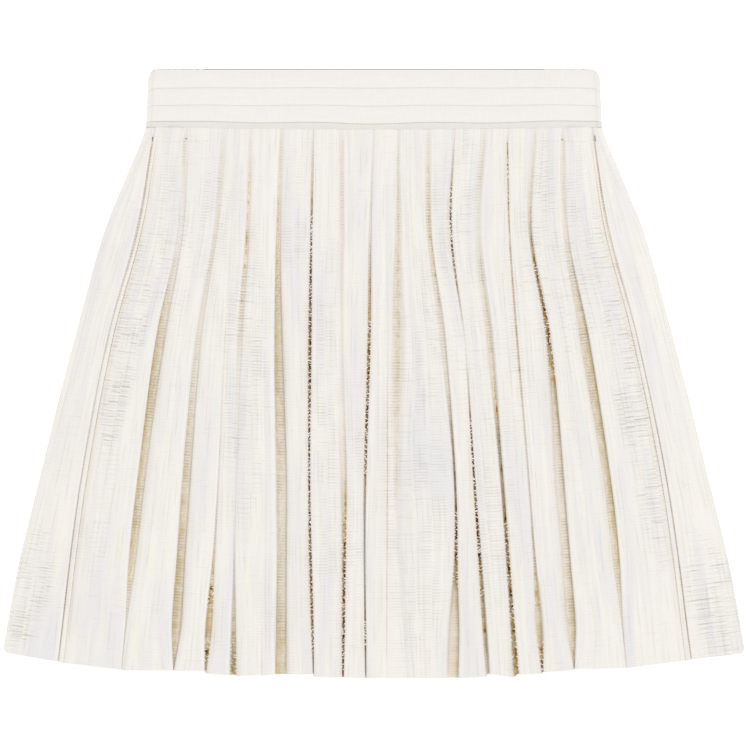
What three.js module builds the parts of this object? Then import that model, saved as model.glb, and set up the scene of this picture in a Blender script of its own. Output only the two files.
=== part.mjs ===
/**
 * Pleated mini skirt, laid flat on its back with the front uppermost.
 *
 * Millimetres. +X runs across the skirt, +Y towards the waist and +Z up. The surface that the
 * skirt lies on is z = 0, and the origin is under the middle of the skirt.
 *
 * Each piece of cloth is a wall of even thickness. Its middle line is worked out across a few
 * sections from the waist seam to the hem, and the wall stands half its thickness to each side.
 */
import * as THREE from 'three';

// Whole skirt.
const TOTAL_LENGTH = 450;
const BAND_TOP = TOTAL_LENGTH / 2;
const SEAM_GAP = 0.3;

// Cloth of the skirt panels.
const CLOTH = 1.2;
const BACK_LEVEL = CLOTH / 2;
const EDGE_LEVEL = CLOTH + SEAM_GAP + CLOTH / 2;
const FLOOR_LEVEL_WAIST = 4.8;
const FLOOR_LEVEL_HEM = 5.6;
const FACE_CROWN = 0.4;
const CROWNED_WIDTH = 16;

// Part of the half width over which the front comes down to the side edge.
const EDGE_REACH_WAIST = 0.18;
const EDGE_REACH_HEM = 0.5;

// Waistband.
const BAND_HEIGHT = 43;
const BAND_CLOTH = 2.2;
const BAND_HALF_WIDTH = 167.1;
const BAND_FLARE = 0.04;
const BAND_CORNER = 6;
const BAND_EDGE_ROUND = 0.6;
const BAND_FRONT_LEVEL = 5.2;
const BAND_END_LEVEL = BAND_CLOTH + SEAM_GAP;
const BAND_END_REACH = 40;
const WAIST_SEAM_SIDE = BAND_TOP - BAND_HEIGHT;
const WAIST_SEAM_SAG = 1.8;
const BACK_BAND_DROP = 0.5;

// Fold walls: a pressed edge overhangs its fold, a soft side slopes into it.
const PRESSED_RUN = 3.4;
const PRESSED_SWAY = 1.15;
const SWAY_OF_DEPTH = 0.16;
const PRESSED_STEPS = 5;
const SOFT_RUN_WAIST = 3;
const SOFT_RUN_HEM = 8;
const SOFT_STEPS = 3;
const PRESSED_SHARE = 0.3;
const SOFT_SHARE = 0.38;
const NARROWEST_FLOOR = 0.6;

// Side edges and lower corners of the panels.
const EDGE_INSETS = [0, 1.3, 4.5];
const CORNER_LIFTS = [4, 1.2, 0];
const EDGE_SHARE = 0.45;

// Hem of the back, a little shorter than the front.
const BACK_HEM_MIDDLE = -221.5;
const BACK_HEM_SIDE_LIFT = 14;
const BACK_HEM_CURVE = 2.2;
const FRONT_HEM_LEFT = -207.5;
const FRONT_HEM_RIGHT = -207.9;

// Concealed zip along the centre back seam.
const ZIP_TOP = 222;
const ZIP_BOTTOM = -10;
const ZIP_TAPE_WIDTH = 11.5;
const ZIP_TAPE = 1;
const ZIP_COIL_WIDTH = 1.8;
const ZIP_COIL_HEIGHT = 1.3;
const ZIP_STEP_START = 168;
const ZIP_STEP_END = 176;

/** Turns rows of values into objects with the named columns. */
function table(columns, ...rows) {
  return rows.map((row) => Object.fromEntries(columns.map((column, index) => [column, row[index]])));
}

// Cross-sections from the waist seam (down = 0) to the hem (down = 1): half the width of the
// skirt, the depth of a full front fold and the rise of a back fold.
const SECTIONS = table(
  ['down', 'halfWidth', 'foldDepth', 'backRise'],
  [0.00, 168.7, 1.6, 1.2],
  [0.03, 173.0, 2.3, 1.5],
  [0.10, 184.2, 3.6, 1.9],
  [0.20, 199.7, 4.8, 2.3],
  [0.33, 214.0, 5.8, 2.6],
  [0.50, 231.2, 6.8, 2.9],
  [0.67, 247.3, 7.4, 3.2],
  [0.84, 263.2, 7.8, 3.4],
  [1.00, 274.5, 8.0, 3.4],
);

// How far down the skirt the columns of the fold table stand.
const FOLD_PLACE_DOWN = [0, 0.19, 0.39, 0.68, 1];
const FOLD_SHAPE_DOWN = [0, 0.45, 1];

// Front folds from left to right. waist to hem: middle of the fold. open: width of the
// opening. deep: part of the section's fold depth. pressed: side with the pressed edge.
// hemLeft and hemRight: height of the hem on each side of the fold.
const FRONT_FOLDS = table(
  ['waist', 'hip', 'middle', 'low', 'hem', 'openTop', 'openMiddle', 'openHem',
    'deepTop', 'deepMiddle', 'deepHem', 'pressed', 'hemLeft', 'hemRight'],
  [-162.4, -174.6, -193.1, -217.4, -234.0, 0.6, 0.6, 0.6, 0.20, 0.20, 0.15, 'right', -213.2, -213.2],
  [-139.1, -142.8, -157.6, -171.7, -185.2, 0.8, 7.0, 1.2, 0.50, 0.60, 0.45, 'both', -218.8, -219.2],
  [-110.3, -116.9, -129.5, -138.4, -146.8, 0.8, 1.5, 4.5, 0.60, 0.80, 0.90, 'left', -219.4, -219.4],
  [-101.5, -105.5, -110.0, -115.4, -124.0, 0.6, 0.6, 3.0, 0.00, 0.15, 0.60, 'right', -219.6, -221.6],
  [-91.0, -93.2, -100.6, -103.6, -103.8, 0.8, 1.2, 3.5, 0.70, 0.60, 1.00, 'right', -222.8, -223.2],
  [-68.1, -70.6, -69.9, -68.2, -68.3, 4.0, 7.0, 8.0, 0.70, 0.90, 0.80, 'both', -222.4, -222.2],
  [-45.1, -46.6, -47.4, -47.4, -44.2, 0.8, 1.0, 1.0, 0.90, 1.00, 0.90, 'right', -222.0, -224.0],
  [-24.4, -24.4, -25.2, -21.5, -22.1, 2.0, 3.0, 2.0, 0.70, 0.60, 1.00, 'right', -224.4, -224.6],
  [-0.7, -3.0, -3.7, -6.7, -5.4, 0.8, 1.0, 0.8, 0.80, 1.00, 1.00, 'left', -224.8, -225.0],
  [17.8, 17.5, 20.7, 21.5, 23.5, 3.0, 5.0, 3.0, 0.80, 0.70, 0.50, 'none', -225.0, -225.0],
  [39.2, 40.7, 51.1, 60.2, 58.1, 0.8, 1.2, 8.0, 0.90, 1.00, 0.85, 'right', -225.0, -225.0],
  [59.2, 57.0, 66.6, 74.7, 83.2, 0.8, 0.8, 2.0, 1.00, 1.00, 0.90, 'left', -224.4, -221.0],
  [80.7, 76.2, 85.8, 95.5, 104.2, 0.8, 3.0, 4.0, 0.80, 0.90, 1.00, 'right', -225.0, -222.3],
  [98.4, 99.9, 105.1, 114.7, 124.0, 0.8, 1.0, 2.5, 0.70, 0.70, 0.80, 'left', -221.8, -220.6],
  [118.4, 115.4, 128.8, 136.9, 147.0, 1.0, 3.5, 4.5, 0.70, 1.00, 0.85, 'right', -219.0, -218.2],
  [139.1, 141.3, 154.7, 172.4, 185.6, 0.8, 7.0, 1.2, 0.50, 0.60, 0.45, 'both', -217.8, -217.4],
  [161.4, 172.6, 193.1, 216.8, 234.2, 0.6, 0.6, 0.6, 0.20, 0.20, 0.15, 'left', -212.0, -211.6],
);

// Back folds of one half, as parts of the half width from the centre back seam.
const BACK_FOLD_PARTS = [0.12, 0.245, 0.37, 0.495, 0.62, 0.745, 0.865];
const BACK_FOLD_OPEN = 2;

// Laps across the front of the waistband: how far below the top each one ends, how much lower
// it hangs in the middle, and how far the cloth below it is set back.
const BAND_LAPS = table(
  ['below', 'sag', 'setBack'],
  [14.1, 0, 0.5],
  [26.7, 0.5, 0.5],
  [38.2, 2.0, 0.9],
);

const CLOTH_MATERIAL = new THREE.MeshStandardMaterial({ color: 0xece8e0, roughness: 0.9, metalness: 0 });
const BAND_MATERIAL = new THREE.MeshStandardMaterial({ color: 0xf1eeeb, roughness: 0.85, metalness: 0 });
const ZIP_MATERIAL = new THREE.MeshStandardMaterial({ color: 0xe6e1d6, roughness: 0.6, metalness: 0 });

/** Value at x on the smooth curve through the points (xs, ys). */
function along(x, xs, ys) {
  return new THREE.CubicInterpolant(xs, ys, 1).evaluate(x)[0];
}

/** Rises from 0 to 1 with a level start and end. */
function ease(part) {
  return (1 - Math.cos(Math.PI * THREE.MathUtils.clamp(part, 0, 1))) / 2;
}

/** Height of the waist seam at x; it hangs a little in the middle. */
function waistSeam(x) {
  const part = x / BAND_HALF_WIDTH;
  return WAIST_SEAM_SIDE - WAIST_SEAM_SAG * Math.max(0, 1 - part * part);
}

/** Level of the highest cloth of the front, from the middle of the skirt down to its edges. */
function frontLevel(section, x) {
  const floor = THREE.MathUtils.lerp(FLOOR_LEVEL_WAIST, FLOOR_LEVEL_HEM, section.down);
  const reach = THREE.MathUtils.lerp(EDGE_REACH_WAIST, EDGE_REACH_HEM, Math.sqrt(section.down));
  const inset = 1 - Math.abs(x) / section.halfWidth;
  const fullness = Math.sin((Math.PI / 2) * THREE.MathUtils.clamp(inset / reach, 0, 1));
  return THREE.MathUtils.lerp(EDGE_LEVEL, floor + section.foldDepth, fullness);
}

/**
 * One wall of a fold, from its floor outwards: how far each point stands from the fold's middle
 * and how high it is, as a part of the depth. A pressed wall sways back over the fold, less so
 * where the fold is shallow.
 */
function foldWall(fold, room, pressed) {
  const steps = pressed ? PRESSED_STEPS : SOFT_STEPS;
  const run = Math.min(pressed ? PRESSED_RUN : fold.softRun, room * (pressed ? PRESSED_SHARE : SOFT_SHARE));
  const fullSway = Math.min(PRESSED_SWAY, SWAY_OF_DEPTH * Math.abs(fold.depth));
  const sway = pressed ? (run * fullSway) / PRESSED_RUN : 0;
  const foot = pressed ? fold.open / 2 + CLOTH / 2 - 0.75 * run + sway : fold.open / 2;
  const start = Math.max(foot, NARROWEST_FLOOR / 2);
  return Array.from({ length: steps + 1 }, (_, index) => {
    const part = index / steps;
    return { out: start + run * part + sway * Math.sin(2 * Math.PI * part), rise: ease(part) };
  });
}

/** A fold as the section needs it: its middle, its depth and its two walls. */
function foldAt(fold, before, after) {
  const wall = (room, side) => foldWall(fold, room, fold.pressed === side || fold.pressed === 'both');
  return { ...fold, left: wall(fold.x - before, 'left'), right: wall(after - fold.x, 'right') };
}

/** Points from an edge inwards, closer together where the first fold is near. */
function edgePoints(edge, room, inwards) {
  const scale = Math.min(1, (room * EDGE_SHARE) / EDGE_INSETS.at(-1));
  return EDGE_INSETS.map((inset, index) => ({ x: edge.x + inwards * inset * scale,
    hem: edge.hem + edge.rounded * CORNER_LIFTS[index] }));
}

/** Middle line of a section from its left edge to its right edge, through all of its folds. */
function sectionLine(folds, leftEdge, rightEdge, level, crown) {
  const points = edgePoints(leftEdge, folds[0].x - leftEdge.x, 1);
  folds.forEach((fold, index) => {
    const before = index ? folds[index - 1].x : leftEdge.x;
    const after = index < folds.length - 1 ? folds[index + 1].x : rightEdge.x;
    const walls = foldAt(fold, before, after);
    const leftPoints = walls.left.map((point) => ({ x: fold.x - point.out, sink: fold.depth * (1 - point.rise),
      hem: fold.hemLeft }));
    const rightPoints = walls.right.map((point) => ({ x: fold.x + point.out, sink: fold.depth * (1 - point.rise),
      hem: fold.hemRight }));
    points.push(...facePoints(points.at(-1), leftPoints.at(-1)), ...leftPoints.reverse(), ...rightPoints);
  });
  const last = edgePoints(rightEdge, rightEdge.x - folds.at(-1).x, -1).reverse();
  points.push(...facePoints(points.at(-1), last[0]), ...last);
  return points.map((point) => ({ x: point.x, hem: point.hem,
    z: level(point.x) - (point.sink ?? 0) + crown * (point.crowned ?? 0) }));
}

/** Two points on the face between two folds; a wide face is crowned between them. */
function facePoints(from, to) {
  const crowned = Math.min(1, (to.x - from.x) / CROWNED_WIDTH);
  return [1 / 3, 2 / 3].map((part) => ({ x: THREE.MathUtils.lerp(from.x, to.x, part),
    hem: THREE.MathUtils.lerp(from.hem, to.hem, part), crowned }));
}

/** Gives each point of a middle line its height up the skirt and the direction of the wall. */
function placedLine(points, down) {
  return points.map((point, index) => {
    const before = points[Math.max(0, index - 1)];
    const after = points[Math.min(points.length - 1, index + 1)];
    const onEdge = index === 0 || index === points.length - 1;
    const length = Math.hypot(after.x - before.x, after.z - before.z);
    const top = point.seam - SEAM_GAP;
    return { x: point.x, y: THREE.MathUtils.lerp(top, point.hem, down), z: point.z,
      nx: onEdge ? 0 : -(after.z - before.z) / length, nz: onEdge ? 1 : (after.x - before.x) / length };
  });
}

/** Closed wall of even thickness around a grid of middle lines, given from waist to hem. */
function wallGeometry(lines, thickness) {
  const across = lines[0].length;
  const positions = [];
  for (const side of [1, -1]) {
    for (const line of lines) {
      for (const point of line) {
        const shift = (side * thickness) / 2;
        positions.push(point.x + point.nx * shift, point.y, point.z + point.nz * shift);
      }
    }
  }
  return gridSolid(positions, lines.length, across);
}

/** Joins an upper and a lower grid of points into one closed solid. */
function gridSolid(positions, rows, across) {
  const index = [];
  const upper = (row, column) => row * across + column;
  const lower = (row, column) => rows * across + upper(row, column);
  const quad = (a, b, c, d) => index.push(a, b, c, a, c, d);
  for (let row = 0; row < rows - 1; row += 1) {
    for (let column = 0; column < across - 1; column += 1) {
      quad(upper(row, column), upper(row + 1, column), upper(row + 1, column + 1), upper(row, column + 1));
      quad(lower(row, column), lower(row, column + 1), lower(row + 1, column + 1), lower(row + 1, column));
    }
    quad(upper(row, 0), lower(row, 0), lower(row + 1, 0), upper(row + 1, 0));
    quad(upper(row, across - 1), upper(row + 1, across - 1), lower(row + 1, across - 1), lower(row, across - 1));
  }
  for (let column = 0; column < across - 1; column += 1) {
    quad(upper(0, column), upper(0, column + 1), lower(0, column + 1), lower(0, column));
    quad(upper(rows - 1, column), lower(rows - 1, column), lower(rows - 1, column + 1), upper(rows - 1, column + 1));
  }
  const geometry = new THREE.BufferGeometry();
  geometry.setAttribute('position', new THREE.Float32BufferAttribute(positions, 3));
  geometry.setIndex(index);
  geometry.computeVertexNormals();
  return geometry;
}

/** A named mesh of the skirt. */
function piece(name, geometry, material) {
  const mesh = new THREE.Mesh(geometry, material);
  mesh.name = name;
  return mesh;
}

/** Front fold with its place and shape at one section. */
function frontFold(row, section) {
  const place = FOLD_PLACE_DOWN;
  const shape = FOLD_SHAPE_DOWN;
  const deep = along(section.down, shape, [row.deepTop, row.deepMiddle, row.deepHem]);
  return {
    x: along(section.down, place, [row.waist, row.hip, row.middle, row.low, row.hem]),
    open: along(section.down, shape, [row.openTop, row.openMiddle, row.openHem]),
    depth: deep * section.foldDepth,
    softRun: THREE.MathUtils.lerp(SOFT_RUN_WAIST, SOFT_RUN_HEM, section.down),
    pressed: row.pressed,
    hemLeft: row.hemLeft,
    hemRight: row.hemRight,
  };
}

/** Height of the back's hem at x. */
function backHem(x) {
  return BACK_HEM_MIDDLE + BACK_HEM_SIDE_LIFT * (Math.abs(x) / SECTIONS.at(-1).halfWidth) ** BACK_HEM_CURVE;
}

/** Adds to each point the waist seam above it, taken where its line starts. */
function withSeam(points, firstLine) {
  return points.map((point, index) => ({ ...point, seam: waistSeam(firstLine[index].x) }));
}

/** Front panel: one cloth with seventeen uneven folds that deepen towards the hem. */
function skirtFront() {
  const lines = SECTIONS.map((section) => sectionLine(
    FRONT_FOLDS.map((row) => frontFold(row, section)),
    { x: -section.halfWidth, hem: FRONT_HEM_LEFT, rounded: 1 },
    { x: section.halfWidth, hem: FRONT_HEM_RIGHT, rounded: 1 },
    (x) => frontLevel(section, x),
    FACE_CROWN,
  ));
  const placed = lines.map((line, row) => placedLine(withSeam(line, lines[0]), SECTIONS[row].down));
  return piece('skirt_front', wallGeometry(placed, CLOTH), CLOTH_MATERIAL);
}

/** Back fold of the right half at one section; it rises from the surface into the skirt. */
function backFold(part, section, lastSection) {
  const hem = backHem(part * lastSection.halfWidth);
  return { x: part * section.halfWidth, open: BACK_FOLD_OPEN, depth: -section.backRise,
    softRun: THREE.MathUtils.lerp(SOFT_RUN_WAIST, SOFT_RUN_HEM, section.down), pressed: 'right',
    hemLeft: hem, hemRight: hem };
}

/** Half of the back, with even folds; its faces lie flat on the surface. */
function skirtBackHalf(name, side) {
  const lastSection = SECTIONS.at(-1);
  const lines = SECTIONS.map((section) => sectionLine(
    BACK_FOLD_PARTS.map((part) => backFold(part, section, lastSection)),
    { x: SEAM_GAP / 2, hem: backHem(0), rounded: 0 },
    { x: section.halfWidth, hem: backHem(lastSection.halfWidth), rounded: 1 },
    () => BACK_LEVEL,
    0,
  ));
  const placed = lines.map((line, row) => placedLine(withSeam(line, lines[0]), SECTIONS[row].down));
  const turned = side > 0 ? placed : placed.map((line) => line.map(mirrored).reverse());
  return piece(name, wallGeometry(turned, CLOTH), CLOTH_MATERIAL);
}

/** A point of a middle line on the other side of the skirt. */
function mirrored(point) {
  return { ...point, x: -point.x, nx: -point.nx };
}

/** Drop of the waistband's top at a distance from its end, as a rounded corner. */
function cornerDrop(fromEnd) {
  const short = Math.max(0, BAND_CORNER - fromEnd);
  return BAND_CORNER - Math.sqrt(BAND_CORNER * BAND_CORNER - short * short);
}

/** Places along the band, measured from one end, close together at the rounded corner. */
function bandPlaces(length, roundedEnds) {
  const corner = [0, 0.5, 1.5, 3, BAND_CORNER, 14, 27, BAND_END_REACH];
  const middle = Array.from({ length: 5 }, (_, index) => THREE.MathUtils.lerp(
    BAND_END_REACH, length - (roundedEnds > 1 ? BAND_END_REACH : 0), (index + 1) / (roundedEnds > 1 ? 6 : 5)));
  const mirroredCorner = roundedEnds > 1 ? corner.map((place) => length - place).reverse() : [];
  return [...corner, ...middle, ...mirroredCorner];
}

/** Outline of the front band's section as height below the top and level above its inside. */
function frontBandOutline(part) {
  const sagging = Math.max(0, 1 - part * part);
  const outer = [];
  let setBack = BAND_LAPS[0].setBack;
  for (const lap of BAND_LAPS) {
    const end = lap.below + lap.sag * sagging;
    outer.push([end - SEAM_GAP, BAND_CLOTH], [end, BAND_CLOTH - lap.setBack]);
    setBack = lap.setBack;
  }
  const bottom = BAND_HEIGHT + WAIST_SEAM_SAG * sagging;
  return [
    [bottom, 0],
    [BAND_EDGE_ROUND, 0],
    [0, BAND_EDGE_ROUND],
    [0, BAND_CLOTH - 2 * BAND_EDGE_ROUND],
    [BAND_EDGE_ROUND, BAND_CLOTH - BAND_EDGE_ROUND / 2],
    ...outer,
    [bottom, BAND_CLOTH - setBack],
  ];
}

/** Outline of the back band's section, flat below where it rests. */
function backBandOutline(part) {
  const bottom = BAND_HEIGHT + WAIST_SEAM_SAG * Math.max(0, 1 - part * part);
  return [
    [bottom, 0],
    [BACK_BAND_DROP + BAND_EDGE_ROUND, 0],
    [BACK_BAND_DROP, BAND_EDGE_ROUND],
    [BACK_BAND_DROP, BAND_CLOTH - BAND_EDGE_ROUND],
    [BACK_BAND_DROP + BAND_EDGE_ROUND, BAND_CLOTH],
    [bottom, BAND_CLOTH],
  ];
}

/**
 * Solid through closed outlines of equal length, given as arrays of [x, y, z]. Each outline runs
 * anticlockwise as the flatten function lays it out, seen from the side of the last one.
 */
function loftSolid(outlines, flatten) {
  const around = outlines[0].length;
  const positions = outlines.flat(2);
  const index = [];
  for (let ring = 0; ring < outlines.length - 1; ring += 1) {
    for (let place = 0; place < around; place += 1) {
      const next = (place + 1) % around;
      const [a, b] = [ring * around + place, ring * around + next];
      index.push(a, b, b + around, a, b + around, a + around);
    }
  }
  const flat = outlines[0].map(flatten);
  const last = (outlines.length - 1) * around;
  for (const [a, b, c] of THREE.ShapeUtils.triangulateShape(flat, [])) {
    index.push(c, b, a, last + a, last + b, last + c);
  }
  const geometry = new THREE.BufferGeometry();
  geometry.setAttribute('position', new THREE.Float32BufferAttribute(positions, 3));
  geometry.setIndex(index);
  geometry.computeVertexNormals();
  return geometry;
}

/** Lays out a point of an outline that stands across X. */
function acrossX([, y, z]) {
  return new THREE.Vector2(y, z);
}

/** Lays out a point of an outline that stands across Y. */
function acrossY([x, , z]) {
  return new THREE.Vector2(z, x);
}

/** One outline of a band piece at x, with its corner rounded and its level set. */
function bandSection(x, fromEnd, outline, level) {
  const drop = cornerDrop(fromEnd);
  return outline.map(([below, rise]) => {
    const lowered = Math.max(below, drop + Math.min(below, BAND_EDGE_ROUND));
    const y = BAND_TOP - lowered;
    return [x * (1 + (BAND_FLARE * below) / BAND_HALF_WIDTH), y, level + rise];
  });
}

/** Front of the waistband: three laps, dropping onto the back band at its ends. */
function waistbandFront() {
  const length = 2 * BAND_HALF_WIDTH;
  const outlines = bandPlaces(length, 2).map((place) => {
    const x = place - BAND_HALF_WIDTH;
    const fromEnd = Math.min(place, length - place);
    const level = THREE.MathUtils.lerp(BAND_END_LEVEL, BAND_FRONT_LEVEL, ease(fromEnd / BAND_END_REACH));
    return bandSection(x, fromEnd, frontBandOutline(x / BAND_HALF_WIDTH), level);
  });
  return piece('waistband_front', loftSolid(outlines, acrossX), BAND_MATERIAL);
}

/** Half of the back of the waistband, from the side to the centre back opening. */
function waistbandBackHalf(name, side) {
  const length = BAND_HALF_WIDTH - SEAM_GAP / 2;
  const outlines = bandPlaces(length, 1).map((place) => {
    const x = place - BAND_HALF_WIDTH;
    return bandSection(x, place, backBandOutline(x / BAND_HALF_WIDTH), 0);
  });
  const turned = side < 0 ? outlines : outlines.map((ring) => ring.map(([x, y, z]) => [-x, y, z])).reverse();
  return piece(name, loftSolid(turned, acrossX), BAND_MATERIAL);
}

/** Half of the zip: a tape with a coil along its edge, inside the back, up through the band. */
function zipHalf(name, side) {
  const steps = table(
    ['y', 'level'],
    [ZIP_BOTTOM, CLOTH + SEAM_GAP],
    [ZIP_STEP_START, CLOTH + SEAM_GAP],
    [ZIP_STEP_END, BAND_CLOTH + SEAM_GAP],
    [ZIP_TOP, BAND_CLOTH + SEAM_GAP],
  );
  const inner = SEAM_GAP / 2;
  const outline = [
    [ZIP_TAPE_WIDTH, 0],
    [ZIP_TAPE_WIDTH, ZIP_TAPE],
    [inner + ZIP_COIL_WIDTH, ZIP_TAPE],
    [inner + 0.75 * ZIP_COIL_WIDTH, ZIP_COIL_HEIGHT],
    [inner + 0.25 * ZIP_COIL_WIDTH, ZIP_COIL_HEIGHT],
    [inner, ZIP_TAPE],
    [inner, 0],
  ];
  const rings = steps.map((step) => outline.map(([x, rise]) => [side * x, step.y, step.level + rise]));
  const turned = side < 0 ? rings : rings.map((ring) => [...ring].reverse());
  return piece(name, loftSolid(turned, acrossY), ZIP_MATERIAL);
}

const skirt = new THREE.Group();
skirt.add(
  skirtFront(),
  skirtBackHalf('skirt_back_left', -1),
  skirtBackHalf('skirt_back_right', 1),
  waistbandFront(),
  waistbandBackHalf('waistband_back_left', -1),
  waistbandBackHalf('waistband_back_right', 1),
  zipHalf('zip_left', -1),
  zipHalf('zip_right', 1),
);

export default skirt;
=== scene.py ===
"""A pleated mini skirt of ivory slub cotton, laid flat on its back with the front uppermost.

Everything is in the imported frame: metres, +Z up, waist towards +Y, centre front at x = 0. Sizes in
the tables are millimetres and are turned to metres where a mesh is made.
"""

import logging
from collections.abc import Callable
from dataclasses import dataclass, field
from enum import Enum
from functools import partial

import bpy
import numpy as np
from mathutils import Matrix


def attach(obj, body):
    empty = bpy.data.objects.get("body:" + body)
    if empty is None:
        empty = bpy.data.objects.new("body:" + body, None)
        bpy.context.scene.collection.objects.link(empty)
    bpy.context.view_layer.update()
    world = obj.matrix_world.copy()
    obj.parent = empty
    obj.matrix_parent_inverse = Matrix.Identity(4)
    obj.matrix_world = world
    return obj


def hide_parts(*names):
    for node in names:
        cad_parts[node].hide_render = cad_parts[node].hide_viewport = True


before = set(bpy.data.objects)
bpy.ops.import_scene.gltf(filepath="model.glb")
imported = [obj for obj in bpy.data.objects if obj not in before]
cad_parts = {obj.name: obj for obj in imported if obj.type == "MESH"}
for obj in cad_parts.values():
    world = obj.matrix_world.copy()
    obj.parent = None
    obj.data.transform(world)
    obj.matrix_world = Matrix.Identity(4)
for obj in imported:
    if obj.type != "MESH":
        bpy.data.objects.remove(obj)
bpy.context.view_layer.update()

LOG = logging.getLogger("skirt")
MM = 0.001
SHARP_ANGLE = 1.0
ROOT = "root"
Socket = bpy.types.NodeSocket
Rows = np.ndarray

# The waistband and the seam under it, the fan that the side edges lie on, and the cloth of the panels.
TOP_Y = 225.0
BACK_TOP_Y = 224.5
WAIST_SEAM_SIDE = 182.0
WAIST_SEAM_SAG = 1.8
FAN_CENTRE_Y = 831.0
BAND_HALF_WIDTH = 167.1
SEAM_GAP = 0.08
BACK_GAP = 0.15
CLOTH = 0.8

# Sizes of the panels at SECTION_DOWN, which counts from 0 at the waist seam to 1 at the hem.
SECTION_DOWN = (0.0, 0.03, 0.10, 0.20, 0.33, 0.50, 0.67, 0.84, 1.0)
HALF_WIDTH = (168.7, 173.0, 184.2, 199.7, 214.0, 231.2, 247.3, 263.2, 274.5)
FOLD_DEPTH = (1.6, 2.3, 3.6, 4.8, 5.8, 6.8, 7.4, 7.8, 8.0)
BACK_RISE = (1.2, 1.5, 1.9, 2.3, 2.6, 2.9, 3.2, 3.4, 3.4)

# Where the fold table gives its values, counted the same way, and the digit of its darkest shade.
PLACE_DOWN = (0.0, 0.19, 0.39, 0.68, 1.0)
SHAPE_DOWN = (0.0, 0.04, 0.20, 0.40, 0.60, 0.80, 0.92, 1.0)
DARKEST = 9


class Pressed(Enum):
    """Sides of a fold, left and right, whose edge is pressed and leans over the fold."""

    LEFT = (True, False)
    RIGHT = (False, True)
    BOTH = (True, True)
    NEITHER = (False, False)


@dataclass(frozen=True)
class Fold:
    """One fold from the waist down to the hem, in millimetres.

    place is its middle and depth its part of the section's fold depth, both at PLACE_DOWN. opening is the
    width between its edges and inside a digit for how dark the shade painted into the cloth in it is, from 0,
    like the face, to 9, nearly black, both at SHAPE_DOWN. hem is the height of the hem on its left and right.
    Its pressed edges are still soft above crisp_from, and frayed is how much loose yarn shows in it: slubs
    stand along its edges, and its painted shade is speckled and warmed.
    """

    place: tuple[float, ...]
    opening: tuple[float, ...]
    depth: tuple[float, ...]
    inside: str
    pressed: Pressed
    hem: tuple[float, float]
    soft_run: float = 3.5
    crisp_from: float = 0.12
    frayed: float = 1.0


@dataclass(frozen=True)
class Crease:
    """A soft trough (depth below 0) or ridge on a face, from start to end (x, y), in millimetres."""

    start: tuple[float, float]
    end: tuple[float, float]
    width: float
    depth: float


@dataclass(frozen=True)
class Patch:
    """A soft-edged oval where a woven pattern is strong, in millimetres, which leans with its cloth.

    lean is how far it shifts across for each millimetre up.
    """

    x: float
    y: float
    half_width: float
    half_height: float
    strength: float
    lean: float = 0.0


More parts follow.
